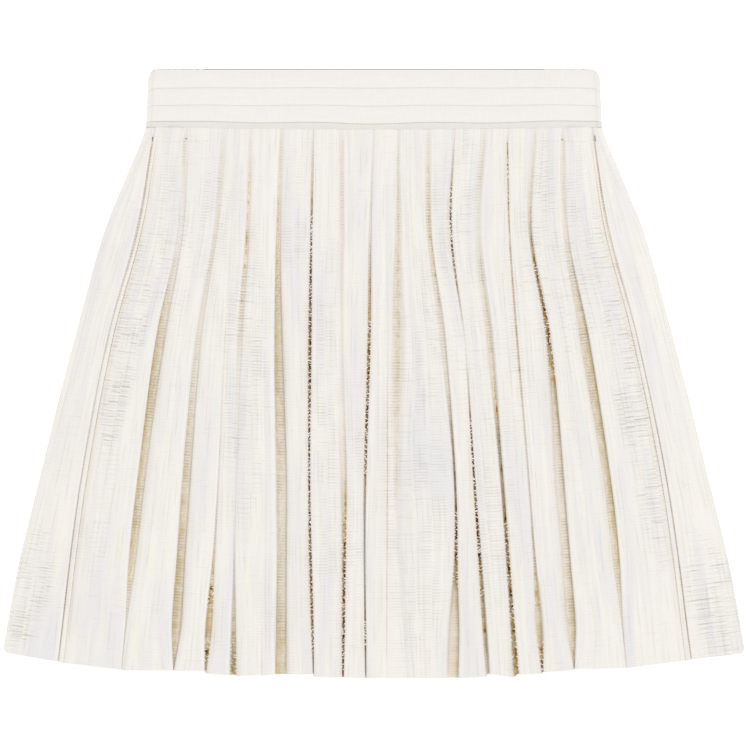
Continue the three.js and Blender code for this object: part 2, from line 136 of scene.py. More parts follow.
FRONT_FOLDS = (
    Fold((-162.4, -174.8, -196.2, -217.6, -233.2), (0.3, 0.6, 1.9, 0.4, 0.3, 0.3, 0.3, 0.3),
         (0.50, 0.30, 0.22, 0.20, 0.15), "04322553", Pressed.RIGHT, (-213.2, -213.2), 4.5, 0.0, 0.0),
    Fold((-159.4, -171.4, -192.6, -213.8, -229.4), (0.3,) * 8,
         (0.05, 0.10, 0.10, 0.10, 0.08), "02555543", Pressed.NEITHER, (-214.2, -214.2), 0.6, 0.0, 0.0),
    Fold((-139.1, -142.8, -157.6, -173.2, -186.4), (2.0, 4.0, 4.0, 7.0, 6.0, 5.4, 1.0, 0.5),
         (0.35, 0.45, 0.55, 0.40, 0.10), "12144421", Pressed.BOTH, (-218.8, -219.2), frayed=0.0),
    Fold((-110.3, -116.9, -129.5, -139.2, -147.8), (4.0, 4.0, 2.8, 4.2, 6.0, 6.4, 6.8, 0.4),
         (0.30, 0.40, 0.50, 0.60, 0.60), "12223442", Pressed.BOTH, (-219.4, -219.4), 5.0, 0.4),
    Fold((-101.5, -105.5, -110.0, -115.4, -124.4), (0.3, 0.3, 0.3, 0.3, 0.3, 2.0, 4.6, 1.2),
         (0.0, 0.0, 0.06, 0.16, 0.60), "11112353", Pressed.RIGHT, (-219.6, -221.6), 2.0),
    Fold((-91.0, -93.4, -99.0, -102.6, -103.8), (3.0, 3.0, 3.0, 3.6, 2.0, 1.6, 3.4, 4.2),
         (0.25, 0.35, 0.25, 0.12, 0.80), "12321135", Pressed.RIGHT, (-222.8, -223.2), 3.5, 0.2),
    Fold((-82.0, -82.6, -83.2, -83.4, -82.9), (0.3,) * 8,
         (0.0, 0.0, 0.0, 0.0, 0.08), "00000012", Pressed.NEITHER, (-222.6, -222.9), 0.8, frayed=0.0),
    Fold((-68.1, -70.6, -70.4, -68.0, -68.7), (3.2, 3.2, 3.6, 6.2, 7.8, 7.2, 7.8, 8.4),
         (0.30, 0.50, 0.70, 0.60, 0.60), "12343344", Pressed.BOTH, (-222.4, -222.2)),
    Fold((-45.1, -46.4, -47.4, -47.8, -44.6), (0.3, 1.8, 1.6, 2.4, 1.6, 2.2, 2.0, 0.5),
         (0.50, 0.80, 1.00, 0.70, 0.50), "12454551", Pressed.RIGHT, (-222.0, -224.0), 4.0, 0.0),
    Fold((-24.4, -24.4, -25.2, -22.2, -23.0), (4.0, 4.0, 3.8, 4.4, 4.6, 2.6, 2.2, 1.2),
         (0.25, 0.25, 0.28, 0.50, 0.80), "12212555", Pressed.RIGHT, (-224.4, -224.6), 3.5, 0.5),
    Fold((-0.7, -2.8, -3.7, -6.9, -6.2), (0.3, 0.6, 2.0, 2.2, 1.8, 1.2, 1.2, 1.0),
         (0.30, 0.45, 0.80, 0.60, 0.60), "11244141", Pressed.BOTH, (-224.8, -225.0), 1.5),
    Fold((8.0, 8.0, 9.5, 9.6, 9.0), (0.3,) * 8,
         (0.0, 0.05, 0.05, 0.05, 0.02), "00014320", Pressed.NEITHER, (-225.0, -225.0), 2.0, frayed=0.0),
    Fold((17.8, 17.2, 17.0, 17.0, 24.0), (2.6, 2.8, 5.2, 8.6, 6.0, 5.0, 4.0, 4.4),
         (0.36, 0.36, 0.34, 0.12, 0.14), "12332111", Pressed.NEITHER, (-225.0, -225.0), 9.0),
    Fold((39.2, 40.7, 51.1, 60.2, 58.1), (4.2, 4.2, 3.8, 3.8, 1.8, 3.0, 8.0, 8.4),
         (0.30, 0.40, 0.40, 0.75, 0.70), "12323433", Pressed.RIGHT, (-225.0, -225.0), 3.0, 0.1),
    Fold((59.2, 57.0, 66.6, 75.0, 84.0), (2.0, 1.6, 1.6, 0.4, 1.4, 2.4, 3.0, 2.8),
         (0.50, 0.80, 0.12, 0.80, 0.75), "12515432", Pressed.LEFT, (-224.0, -222.0), 2.0, 0.06),
    Fold((80.7, 76.2, 85.4, 95.5, 104.8), (4.6, 4.6, 4.4, 4.2, 2.4, 2.6, 3.2, 4.2),
         (0.25, 0.28, 0.50, 0.80, 0.90), "12233445", Pressed.RIGHT, (-224.2, -222.3), 3.5, 0.45),
    Fold((98.4, 99.9, 105.6, 115.0, 124.4), (0.3, 0.6, 1.2, 1.6, 1.0, 2.0, 4.8, 1.2),
         (0.40, 0.30, 0.30, 0.25, 0.70), "04332344", Pressed.LEFT, (-221.8, -220.6), 2.5, 0.0),
    Fold((118.4, 115.4, 128.8, 137.8, 147.8), (4.4, 4.4, 2.4, 3.4, 6.4, 7.0, 7.0, 0.4),
         (0.30, 0.70, 0.80, 0.55, 0.50), "12353342", Pressed.RIGHT, (-219.0, -218.2), 5.0, 0.14),
    Fold((139.1, 141.3, 155.4, 173.4, 186.2), (2.0, 4.0, 4.0, 7.0, 6.0, 5.4, 1.0, 0.5),
         (0.35, 0.45, 0.55, 0.40, 0.10), "12244421", Pressed.BOTH, (-217.8, -217.4), frayed=0.0),
    Fold((158.8, 170.2, 190.6, 213.6, 230.3), (0.3,) * 8,
         (0.05, 0.10, 0.10, 0.10, 0.08), "02555543", Pressed.NEITHER, (-212.6, -212.6), 0.6, 0.0, 0.0),
    Fold((161.4, 172.8, 193.7, 217.2, 234.2), (0.3, 0.6, 1.9, 0.4, 0.3, 0.3, 0.3, 0.3),
         (0.50, 0.30, 0.22, 0.20, 0.15), "04323453", Pressed.LEFT, (-212.0, -211.6), 4.5, 0.0, 0.0),
)

FRONT_CREASES = (
    Crease((-146, 120), (-176, -60), 7.0, -0.7),
    Crease((-150, 40), (-196, -200), 8.0, 0.6),
    Crease((-128, 150), (-146, -30), 5.0, -0.8),
    Crease((-134, 60), (-163, -190), 6.0, 0.6),
    Crease((-124, 10), (-160, -205), 4.0, -0.6),
    Crease((-104, 160), (-118, -60), 5.0, -0.5),
    Crease((-84, 140), (-88, -170), 6.0, 0.6),
    Crease((-80, -100), (-83, -222), 4.0, -0.8),
    Crease((-57, 120), (-58, -120), 5.0, -0.5),
    Crease((-35, 160), (-36, -60), 5.0, -0.5),
    Crease((-12, 150), (-14, 20), 5.0, 0.5),
    Crease((8, 160), (10, -30), 5.0, -0.6),
    Crease((28, 140), (36, -80), 6.0, 0.5),
    Crease((33, 100), (44, -60), 5.0, -0.6),
    Crease((49, 170), (58, 60), 5.0, -0.5),
    Crease((70, 150), (76, 0), 5.0, 0.5),
    Crease((90, 120), (104, -80), 4.0, -0.5),
    Crease((109, 150), (116, 0), 5.0, 0.6),
    Crease((129, 120), (146, -60), 6.0, -0.7),
    Crease((134, 20), (168, -205), 5.0, 0.6),
    Crease((146, 60), (182, -130), 6.0, -0.7),
    Crease((150, 150), (176, 20), 6.0, 0.5),
    Crease((168, 60), (206, -200), 7.0, -0.5),
    Crease((-190, 96), (-184, 116), 5.0, -0.9),
    Crease((190, 118), (180, 104), 5.0, -0.7),
)

RIB_PATCHES = (
    Patch(-95, 20, 22, 130, 1.0), Patch(-36, -60, 12, 150, 1.0), Patch(-14, -100, 10, 120, 1.0),
    Patch(30, -90, 34, 160, 1.0), Patch(90, -100, 18, 100, 0.9), Patch(70, 130, 12, 70, 1.0),
    Patch(126, 110, 14, 80, 1.0), Patch(-118, 110, 14, 70, 1.0), Patch(-60, 110, 12, 60, 0.9),
    Patch(44, 70, 14, 100, 0.9), Patch(-182, 20, 15, 105, 1.0, 0.21), Patch(190, -20, 16, 150, 1.0, -0.19),
    Patch(-255, -162, 20, 55, 1.0, 0.2), Patch(252, -168, 22, 58, 1.0, -0.2), Patch(-150, 120, 14, 60, 0.8),
    Patch(150, 110, 14, 70, 0.9), Patch(-80, -190, 14, 40, 0.6), Patch(108, 20, 12, 80, 0.8),
)

LADDER_PATCHES = (
    Patch(-182, 20, 15, 105, 1.0, 0.21), Patch(-200, -110, 10, 60, 0.4, 0.2),
    Patch(190, -20, 15, 150, 1.0, -0.19),
    Patch(-255, -162, 20, 58, 0.9, 0.2), Patch(250, -168, 24, 60, 0.9, -0.2), Patch(122, 90, 20, 90, 0.5),
    Patch(60, 60, 30, 120, 0.35), Patch(-95, -20, 20, 130, 0.5), Patch(30, -60, 30, 120, 0.25),
    Patch(-150, 90, 20, 70, 0.5), Patch(150, 60, 18, 80, 0.6), Patch(172, 70, 13, 60, 0.8, -0.2),
    Patch(-36, 0, 14, 140, 0.3), Patch(90, -60, 20, 120, 0.3),
)


def linear(code: str) -> tuple[float, float, float, float]:
    """Turns an sRGB hex colour to the linear colour that shaders use.

    Args:
        code: Six hex digits.

    Returns:
        Red, green, blue and an alpha of 1.
    """
    parts = [int(code[i:i + 2], 16) / 255 for i in (0, 2, 4)]
    return tuple(p / 12.92 if p <= 0.04045 else ((p + 0.055) / 1.055) ** 2.4 for p in parts) + (1.0,)


def smooth(part: Rows) -> Rows:
    """Rises from 0 to 1 with a level start and end: (1 - cos(pi part)) / 2."""
    return (1 - np.cos(np.pi * np.clip(part, 0, 1))) / 2


def curve_through(stations: tuple[float, ...], values: Rows, at: Rows) -> Rows:
    """Reads smooth curves at some places.

    Each curve is made of cubic pieces, whose slope at a station is the slope between its neighbours.

    Args:
        stations: Rising places of the known values.
        values: Known values, a row for each curve.
        at: Places to read.

    Returns:
        A row for each place and a column for each curve.
    """
    xs, ys = np.asarray(stations, float), np.atleast_2d(np.asarray(values, float))
    low, high = np.maximum(np.arange(len(xs)) - 1, 0), np.minimum(np.arange(len(xs)) + 1, len(xs) - 1)
    slopes = (ys[:, high] - ys[:, low]) / (xs[high] - xs[low])
    i = np.clip(np.searchsorted(xs, at, side="right") - 1, 0, len(xs) - 2)
    step = xs[i + 1] - xs[i]
    t = (at - xs[i]) / step
    curve = ((2 * t**3 - 3 * t**2 + 1) * ys[:, i] + (t**3 - 2 * t**2 + t) * step * slopes[:, i]
             + (3 * t**2 - 2 * t**3) * ys[:, i + 1] + (t**3 - t**2) * step * slopes[:, i + 1])
    return curve.T


def bow(x: Rows) -> Rows:
    """A parabola along the waist: 1 at the centre front and 0 at the ends of the waistband."""
    return np.maximum(0, 1 - (x / BAND_HALF_WIDTH) ** 2)


def waist_seam(x: Rows) -> Rows:
    """Height of the waist seam at x: level at the sides and sagging as a parabola between them."""
    return WAIST_SEAM_SIDE - WAIST_SEAM_SAG * bow(x)


def oval_strength(patches: tuple[Patch, ...], x: Rows, y: Rows) -> Rows:
    """Strength of a pattern at each point: the strongest of its patches, each fading out as 1 - r squared."""
    strength = np.zeros_like(x)
    for patch in patches:
        off = x - patch.x - patch.lean * (y - patch.y)
        reach = (off / patch.half_width) ** 2 + ((y - patch.y) / patch.half_height) ** 2
        strength = np.maximum(strength, patch.strength * smooth(1.25 * (1 - reach)))
    return strength


def crease_rise(creases: tuple[Crease, ...], x: Rows, y: Rows) -> Rows:
    """Rise of the cloth from its creases: a bell across each one, which fades in and out along it."""
    rise = np.zeros_like(x)
    for crease in creases:
        start, end = np.array(crease.start), np.array(crease.end)
        length = np.linalg.norm(end - start)
        along = (end - start) / length
        part = ((x - start[0]) * along[0] + (y - start[1]) * along[1]) / length
        off = (x - start[0]) * along[1] - (y - start[1]) * along[0]
        fade = np.sqrt(np.clip(4 * part * (1 - part), 0, 1))
        rise += crease.depth * fade * np.exp(-((2 * off / crease.width) ** 2))
    return rise


@dataclass(frozen=True)
class Waves:
    """Uneven soft waves: their height, seed, and middle lengths across and down the cloth."""

    height: float
    seed: int
    across: float
    down: float
    count: int = 9

    def at(self, x: Rows, y: Rows) -> Rows:
        """The waves at each place: a sum of sines with seeded lengths, leans and phases.

        Args:
            x: Places across, in millimetres.
            y: Places up the skirt, in millimetres.

        Returns:
            Values between about plus and minus the height.
        """
        draw = np.random.default_rng(self.seed)
        total = np.zeros_like(x)
        for _ in range(self.count):
            a, b = draw.uniform(0.6, 1.7, 2)
            lean = draw.choice([-1, 1])
            turns = a * x / self.across + lean * b * y / self.down
            total += np.sin(2 * np.pi * turns + draw.uniform(0, 2 * np.pi))
        return self.height * (total / np.sqrt(self.count))


def grid_faces(rows: int, columns: int) -> Rows:
    """Quads of a closed body between an upper and a lower grid of points.

    Args:
        rows: Rows of each grid, from the waist down.
        columns: Columns of each grid, from left to right.

    Returns:
        Vertex numbers of the quads, facing outwards.
    """
    top = np.arange(rows * columns).reshape(rows, columns)
    low = top + rows * columns
    upper = np.stack([top[:-1, :-1], top[1:, :-1], top[1:, 1:], top[:-1, 1:]], -1).reshape(-1, 4)
    lower = np.stack([low[:-1, :-1], low[:-1, 1:], low[1:, 1:], low[1:, :-1]], -1).reshape(-1, 4)
    left = np.stack([top[:-1, 0], low[:-1, 0], low[1:, 0], top[1:, 0]], -1)
    right = np.stack([top[:-1, -1], top[1:, -1], low[1:, -1], low[:-1, -1]], -1)
    waist = np.stack([top[0, :-1], top[0, 1:], low[0, 1:], low[0, :-1]], -1)
    hem = np.stack([top[-1, :-1], low[-1, :-1], low[-1, 1:], top[-1, 1:]], -1)
    return np.concatenate([upper, lower, left, right, waist, hem])


def make_mesh(name: str, points: Rows, faces: Rows, uv: Rows | None = None,
              attributes: dict[str, Rows] | None = None) -> bpy.types.Object:
    """Makes an object from whole arrays.

    Args:
        name: Name of the object and its mesh.
        points: Points in metres.
        faces: Vertex numbers, a row for each face.
        uv: Place on the cloth of each point, in metres.
        attributes: A number for each point, by name.

    Returns:
        The object, shaded smooth, at the origin.
    """
    mesh = bpy.data.meshes.new(name)
    size = faces.shape[1]
    mesh.vertices.add(len(points))
    mesh.vertices.foreach_set("co", np.ascontiguousarray(points, np.float32).ravel())
    mesh.loops.add(faces.size)
    mesh.loops.foreach_set("vertex_index", np.ascontiguousarray(faces, np.int32).ravel())
    mesh.polygons.add(len(faces))
    mesh.polygons.foreach_set("loop_start", np.arange(0, faces.size, size, dtype=np.int32))
    mesh.polygons.foreach_set("use_smooth", np.ones(len(faces), bool))
    if uv is not None:
        layer = mesh.uv_layers.new(name="cloth")
        layer.data.foreach_set("uv", np.ascontiguousarray(uv[faces.ravel()], np.float32).ravel())
    for key, values in (attributes or {}).items():
        layer = mesh.attributes.new(key, "FLOAT", "POINT")
        layer.data.foreach_set("value", values.astype(np.float32).ravel())
    mesh.update(calc_edges=True)
    mesh.validate()
    mesh.set_sharp_from_angle(angle=SHARP_ANGLE)
    made = bpy.data.objects.new(name, mesh)
    bpy.context.scene.collection.objects.link(made)
    return made


@dataclass
class ClothLine:
    """Columns of a pleated cloth's middle surface, gathered from left to right, in millimetres."""

    x: list[Rows] = field(default_factory=list)
    sink: list[Rows] = field(default_factory=list)
    hem: list[Rows] = field(default_factory=list)
    shade: list[Rows] = field(default_factory=list)
    crown: list[Rows] = field(default_factory=list)
    frayed: list[Rows] = field(default_factory=list)

    def stores(self) -> tuple[list[Rows], ...]:
        """Returns the lists of columns in their order."""
        return self.x, self.sink, self.hem, self.shade, self.crown, self.frayed

    def count(self) -> int:
        """Returns how many columns there are so far."""
        return sum(columns.shape[1] for columns in self.x)

    def add(self, x: Rows, sink: Rows | float = 0.0, hem: Rows | float = 0.0, shade: Rows | float = 0.0,
            crown: Rows | float = 0.0, frayed: Rows | float = 0.0) -> None:
        """Adds columns; x has a row for each row of the cloth, and the others are spread to its shape."""
        for store, values in zip(self.stores(), (x, sink, hem, shade, crown, frayed)):
            store.append(np.broadcast_to(values, x.shape))

    def joined(self) -> tuple[Rows, ...]:
        """Returns x, sink, hem, shade, crown and frayed as whole arrays."""
        return tuple(np.concatenate(store, 1) for store in self.stores())


@dataclass
class PleatedCloth:
    """A pleated panel as a thin closed shell around a folded middle surface.

    Lengths are millimetres. A share is of the room beside a fold, a fade is a power, and a value for light or
    shade painted into the cloth's colour, or for its lean, is in parts of the darkest shade.
    """

    name: str
    folds: tuple[Fold, ...]
    rows: int
    wall_steps: int
    face_pitch: float

    pressed_run: float = 2.8
    pressed_sway: float = 1.0
    sway_of_depth: float = 0.18
    lip_part: float = 0.75
    pressed_share: float = 0.3
    soft_share: float = 0.38
    narrowest_floor: float = 0.25
    narrowest_opening: float = 0.3
    least_soft_run: float = 1.1
    crisp_reach: float = 0.14
    crown: float = 0.45
    crowned_width: float = 16.0
    edge_insets: tuple[float, ...] = (0.0, 0.35, 0.9, 1.7, 2.8, 4.5)
    corner_power: float = 3.5

    # Light and shade painted into the cloth's colour: along its side edges, in its folds and on the faces
    # beside them.
    edge_shade: float = 0.22
    dark_lean: float = 0.55
    floor_lean: float = 0.45
    wide_opening: float = 6.0
    pressed_fade: float = 0.7
    soft_fade: float = 1.3
    lip_look_from: float = 0.7
    edge_light: float = -0.15
    edge_light_reach: float = 2.0
    full_light_shade: float = 0.3
    soft_side_shade: float = 0.32
    soft_shade_reach: float = 4.5
    full_shading_width: float = 10.0
    speckled_openings: tuple[float, float] = (2.6, 5.0)
    right_dark_from: float = -60.0

    def __post_init__(self) -> None:
        """Reads the fold table at every row of the cloth."""
        self.down = np.linspace(0, 1, self.rows)
        self.half_width = curve_through(SECTION_DOWN, HALF_WIDTH, self.down)
        self.place = curve_through(PLACE_DOWN, [fold.place for fold in self.folds], self.down)
        openings = curve_through(SHAPE_DOWN, [fold.opening for fold in self.folds], self.down)
        self.opening = np.maximum(openings, self.narrowest_opening)
        self.part = np.maximum(curve_through(PLACE_DOWN, [fold.depth for fold in self.folds], self.down), 0)
        shades = [[int(digit) / DARKEST for digit in fold.inside] for fold in self.folds]
        self.shade = np.clip(curve_through(SHAPE_DOWN, shades, self.down), 0, 1)

    def wall(self, index: int, room: Rows, depth: Rows, pressed: bool) -> tuple[Rows, Rows]:
        """One wall of a fold, from its floor outwards.

        The wall runs outwards evenly and sways by sin(2 pi t), so that a pressed edge leans over the
        fold, furthest at its lip, while it rises as (1 - cos(pi t)) / 2.

        Args:
            index: Number of the fold.
            room: Space to the next fold on that side, a column.
            depth: Depth of the fold, a column.
            pressed: Whether the edge is pressed.

        Returns:
            How far each point stands from the fold's middle, and how high as a part of the depth.
        """
        t = np.linspace(0, 1, self.wall_steps + 1)[None, :]
        fold, half = self.folds[index], self.opening[:, [index]] / 2
        run = np.minimum(fold.soft_run, room * self.soft_share)
        run = np.minimum(run, np.maximum(self.least_soft_run, 2 * (half - self.narrowest_floor)))
        start = np.maximum(half - run / 2, self.narrowest_floor)
        sway = 0 * run
        if pressed:
            crisp = smooth((self.down[:, None] - fold.crisp_from) / self.crisp_reach)
            sway_share = np.minimum(self.pressed_sway, self.sway_of_depth * depth) / self.pressed_run
            lip, overhang = half + CLOTH / 2, self.lip_part - sway_share
            pressed_run = np.minimum(self.pressed_run, room * self.pressed_share)
            pressed_run = np.minimum(pressed_run, (lip - self.narrowest_floor) / overhang)
            start += crisp * (lip - overhang * pressed_run - start)
            run += crisp * (pressed_run - run)
            sway = crisp * sway_share * pressed_run
        return start + run * t + sway * np.sin(2 * np.pi * t), smooth(t) + 0 * run

    def dark_side(self, index: int) -> int:
        """Side of a fold that looks darkest: 1, the right one, except in the folds at the far left."""
        return 1 if self.folds[index].place[0] > self.right_dark_from else -1

    def shade_speckle_at(self, index: int) -> Rows:
        """How far the painted shade in a fold is speckled and warmed, standing for loose yarn, a column: all
        where it is narrow, none in a wide valley.
        """
        full, widest = self.speckled_openings
        return self.folds[index].frayed * smooth((widest - self.opening[:, [index]]) / (widest - full))

    def look_beside(self, index: int, side: int, off: Rows) -> Rows:
        """Shade that a fold gives to the face beside it, fading out as exp(-distance).

        A painted highlight lies on the face beside the dark side of a fold, and painted shade beside its
        other side.

        Args:
            index: Number of the fold; nothing is there below 0 or past the last one.
            side: 1 for the face on its right, -1 for the one on its left.
            off: Distance from the edge of the fold.

        Returns:
            What it adds to the shade.
        """
        if not 0 <= index < len(self.folds):
            return 0 * off
        shade = self.shade[:, [index]]
        if self.dark_side(index) == side:
            light = self.edge_light * np.exp(-off / self.edge_light_reach)
            return light * smooth(shade / self.full_light_shade)
        return self.soft_side_shade * shade * np.exp(-off / self.soft_shade_reach)

    def add_face(self, line: ClothLine, start: Rows, end: Rows, hems: tuple[float, float],
                 before: int) -> None:
        """Adds the columns of the face between two folds, crowned as a parabola where it is wide.

        Args:
            line: Columns so far.
            start: Place of the left end of the face at each row, a column.
            end: Place of its right end.
            hems: Height of the hem at both ends.
            before: Number of the fold on the left of the face, or -1.
        """
        width = end - start
        count = max(2, round(float(np.mean(width)) / self.face_pitch))
        s = (np.arange(1, count + 1) / (count + 1))[None, :]
        x = start + width * s
        crown = self.crown * np.clip(width / self.crowned_width, 0, 1) * 4 * s * (1 - s)
        # Painted light and shade from the folds at both ends: a highlight beside a fold's dark side, shade
        # beside its other side.
        look = self.look_beside(before, 1, x - start) + self.look_beside(before + 1, -1, end - x)
        line.add(x, hem=hems[0] + (hems[1] - hems[0]) * s, shade=look * smooth(width / self.full_shading_width),
                 crown=crown)

    def add_edge(self, line: ClothLine, edge: Rows, inwards: int, hem: float, lift: float) -> None:
        """Adds the columns along a side edge, closer together where its lower corner is rounded.

        Args:
            line: Columns so far.
            edge: Place of the edge at each row, a column.
            inwards: 1 for the left edge and -1 for the right one.
            hem: Height of the hem near the edge.
            lift: How far the corner itself is lifted by its rounding, or 0 for a straight seam.
        """
        insets = np.array(self.edge_insets)[::inwards][None, :]
        rounded = lift * (1 - insets / self.edge_insets[-1]) ** self.corner_power
        # A line of painted shade along the very edge where the lower corner is rounded.
        shade = self.edge_shade * (insets == 0) * (lift > 0)
        line.add(edge + inwards * insets, hem=hem + rounded, shade=shade)

    def add_wall(self, line: ClothLine, index: int, side: int, x: Rows, depth: Rows, rise: Rows) -> None:
        """Adds the columns of one wall of a fold, and notes which of them is its lip.

        The shade painted on the wall is darkest at its floor and fades out as a power of what is left of the
        rise.
        It is painted darker on the fold's dark side and lighter on the other, all the more towards its lip.

        Args:
            line: Columns so far.
            index: Number of the fold.
            side: -1 for the left wall and 1 for the right one.
            x: Places of the columns, from left to right.
            depth: Depth of the fold, a column.
            rise: How high each point stands, as a part of the depth.
        """
        fold, shade = self.folds[index], self.shade[:, [index]]
        high = round(self.lip_part * self.wall_steps)
        self.lips.append((index, side, line.count() + (high if side > 0 else self.wall_steps - high)))
        lean = side * self.dark_side(index)
        fade = self.soft_fade if fold.pressed is Pressed.NEITHER else self.pressed_fade
        wide = np.clip(self.opening[:, [index]] / self.wide_opening, 0, 1)
        look = shade * (1 - rise) ** fade
        look = look * (1 + self.dark_lean * lean * np.maximum(rise, self.floor_lean * wide))
        lip_look = (self.edge_light * smooth(shade / self.full_light_shade) if lean > 0
                    else self.soft_side_shade * shade)
        look = look + lip_look * smooth((rise - self.lip_look_from) / (1 - self.lip_look_from))
        line.add(x, depth * (1 - rise), fold.hem[side > 0], look, frayed=self.shade_speckle_at(index))

    def columns(self, left: Rows, right: Rows, depth_scale: Rows, hems: tuple[float, float],
                lifts: tuple[float, float]) -> tuple[Rows, ...]:
        """Gathers every column of the panel between two edges.

        Args:
            left: Place of the left edge at each row, a column.
            right: Place of the right edge.
            depth_scale: Depth of a full fold at each row, a column.
            hems: Height of the hem near the left and right edge.
            lifts: Lift of the left and right lower corner.

        Returns:
            x, sink, hem, shade, crown and frayed as whole arrays.
        """
        line = ClothLine()
        self.lips = []
        inset = self.edge_insets[-1]
        bounds = np.concatenate([left, self.place, right], 1)
        self.add_edge(line, left, 1, hems[0], lifts[0])
        start, start_hem = left + inset, hems[0]
        for index, fold in enumerate(self.folds):
            middle, depth = self.place[:, [index]], self.part[:, [index]] * depth_scale
            to_left, to_right = middle - bounds[:, [index]], bounds[:, [index + 2]] - middle
            lefts, left_rise = self.wall(index, to_left, depth, fold.pressed.value[0])
            rights, right_rise = self.wall(index, to_right, depth, fold.pressed.value[1])
            self.add_face(line, start, middle - lefts[:, -1:], (start_hem, fold.hem[0]), index - 1)
            self.add_wall(line, index, -1, middle - lefts[:, ::-1], depth, left_rise[:, ::-1])
            self.add_wall(line, index, 1, middle + rights, depth, right_rise)
            start, start_hem = middle + rights[:, -1:], fold.hem[1]
        self.add_face(line, start, right - inset, (start_hem, hems[1]), len(self.folds) - 1)
        self.add_edge(line, right, -1, hems[1], lifts[1])
        return line.joined()

    def top_at(self, x: Rows, y: Rows) -> Rows:
        """Height of the cloth's upper side at some places, read from the nearest row of the grid."""
        grid_x, grid_y, grid_z = self.grid
        rows = np.abs(grid_y[:, [grid_y.shape[1] // 2]] - y[None, :]).argmin(0)
        order = np.argsort(grid_x, axis=1)
        heights = [np.interp(place, grid_x[row, order[row]], grid_z[row, order[row]])
                   for place, row in zip(x, rows)]
        return np.array(heights) + CLOTH / 2

    def shell(self, x: Rows, y: Rows, z: Rows, attributes: dict[str, Rows]) -> bpy.types.Object:
        """Makes the closed shell half a cloth thickness to each side of the middle surface.

        Its UV map is the place on the cloth. Across, that is the run of the cloth at its middle height. Down,
        it is the mean of the drop below the waist seam and of how much further the point is than the waist
        from the centre of the fan that the side edges make.

        Args:
            x: Places across of the middle surface, a row for each row of the cloth.
            y: Places up the skirt.
            z: Heights.
            attributes: A number for each point, by name.

        Returns:
            The piece.
        """
        self.grid = (x, y, z)
        dx, dz = np.gradient(x, axis=1), np.gradient(z, axis=1)
        length = np.maximum(np.hypot(dx, dz), 1e-6)
        nx, nz = -dz / length, dx / length
        nx[:, [0, -1]], nz[:, [0, -1]] = 0, 1
        sides = [np.stack([x + off * nx, y, z + off * nz], -1) for off in (CLOTH / 2, -CLOTH / 2)]
        points = np.concatenate([side.reshape(-1, 3) for side in sides])
        steps = np.hypot(np.diff(x, axis=1), np.diff(z, axis=1))
        middle = self.rows // 2
        run = np.concatenate([[0], np.cumsum(steps[middle])])
        run = run - np.interp(0, x[middle], run)
        fan = np.hypot(x, FAN_CENTRE_Y - y) - (FAN_CENTRE_Y - WAIST_SEAM_SIDE)
        fan = (fan + WAIST_SEAM_SIDE - y) / 2
        uv = np.stack(np.broadcast_arrays(run[None, :], fan), -1).reshape(-1, 2) * MM
        self.cloth_area = float(np.sum(steps[1:] * np.abs(np.diff(y, axis=0))[:, 1:])) * MM**2
        self.hem_run = float(np.sum(steps[-1])) * MM
        LOG.info("%s: cloth %.4f m2, hem run %.3f m", self.name, self.cloth_area, self.hem_run)
        doubled = {key: np.tile(values.ravel(), 2) for key, values in attributes.items()}
        return make_mesh(self.name, points * MM, grid_faces(*x.shape), np.tile(uv, (2, 1)), doubled)


@dataclass
class SkirtFront(PleatedCloth):
    """The front panel, with its folds, soft creases and gently uneven faces."""

    name: str = "skirt_front_cloth"
    folds: tuple[Fold, ...] = FRONT_FOLDS
    rows: int = 92
    wall_steps: int = 8
    face_pitch: float = 2.4
    floor_levels: tuple[float, float] = (4.8, 5.6)
    edge_level: float = 1.9
    edge_reach: tuple[float, float] = (0.18, 0.5)
    hem_sides: tuple[float, float] = (-207.5, -207.9)
    corner_lift: float = 4.0
    unevenness: tuple[Waves, ...] = (Waves(0.22, 7, 26, 120), Waves(0.12, 8, 9, 60))
    calm_down: float = 0.04
    calm_side: float = 8.0
    creased_sink: float = 0.5
    fold_ribs: float = 0.8

    def build(self) -> bpy.types.Object:
        """Builds the panel.

        The top level rises from the side edges as a quarter sine to the floor level plus a full fold, and
        each point lies below it by its sink and above it by its crown, its creases and the soft waves. The
        last two fade out towards the waist seam and the side edges.
        """
        down, half = self.down[:, None], self.half_width
        depth = curve_through(SECTION_DOWN, FOLD_DEPTH, self.down)
        x, sink, hem, shade, crown, frayed = self.columns(-half, half, depth, self.hem_sides,
                                                          (self.corner_lift,) * 2)
        floor = self.floor_levels[0] + (self.floor_levels[1] - self.floor_levels[0]) * down
        reach = self.edge_reach[0] + (self.edge_reach[1] - self.edge_reach[0]) * np.sqrt(down)
        fullness = np.sin(np.pi / 2 * np.clip((1 - np.abs(x) / half) / reach, 0, 1))
        level = self.edge_level + (floor + depth - self.edge_level) * fullness
        top = waist_seam(x) - SEAM_GAP
        y = top + (hem - top) * down
        calm = smooth(down / self.calm_down) * smooth((half - np.abs(x)) / self.calm_side)
        uneven = crease_rise(FRONT_CREASES, x, y) + sum(waves.at(x, y) for waves in self.unevenness)
        z = level - sink + crown + calm * uneven * (sink < self.creased_sink * depth)
        in_folds = self.fold_ribs * smooth(shade / self.full_light_shade)
        return self.shell(x, y, z, {
            # Shade painted into the cloth's colour in and beside the folds, and a painted highlight where it
            # is below 0.
            "fold_shade": shade,
            # How far the painted shade in the folds is speckled and warmed, standing for loose yarn.
            "frayed": frayed,
            "rib_strength": np.maximum(oval_strength(RIB_PATCHES, x, y), in_folds),
            "ladder_strength": oval_strength(LADDER_PATCHES, x, y),
        })


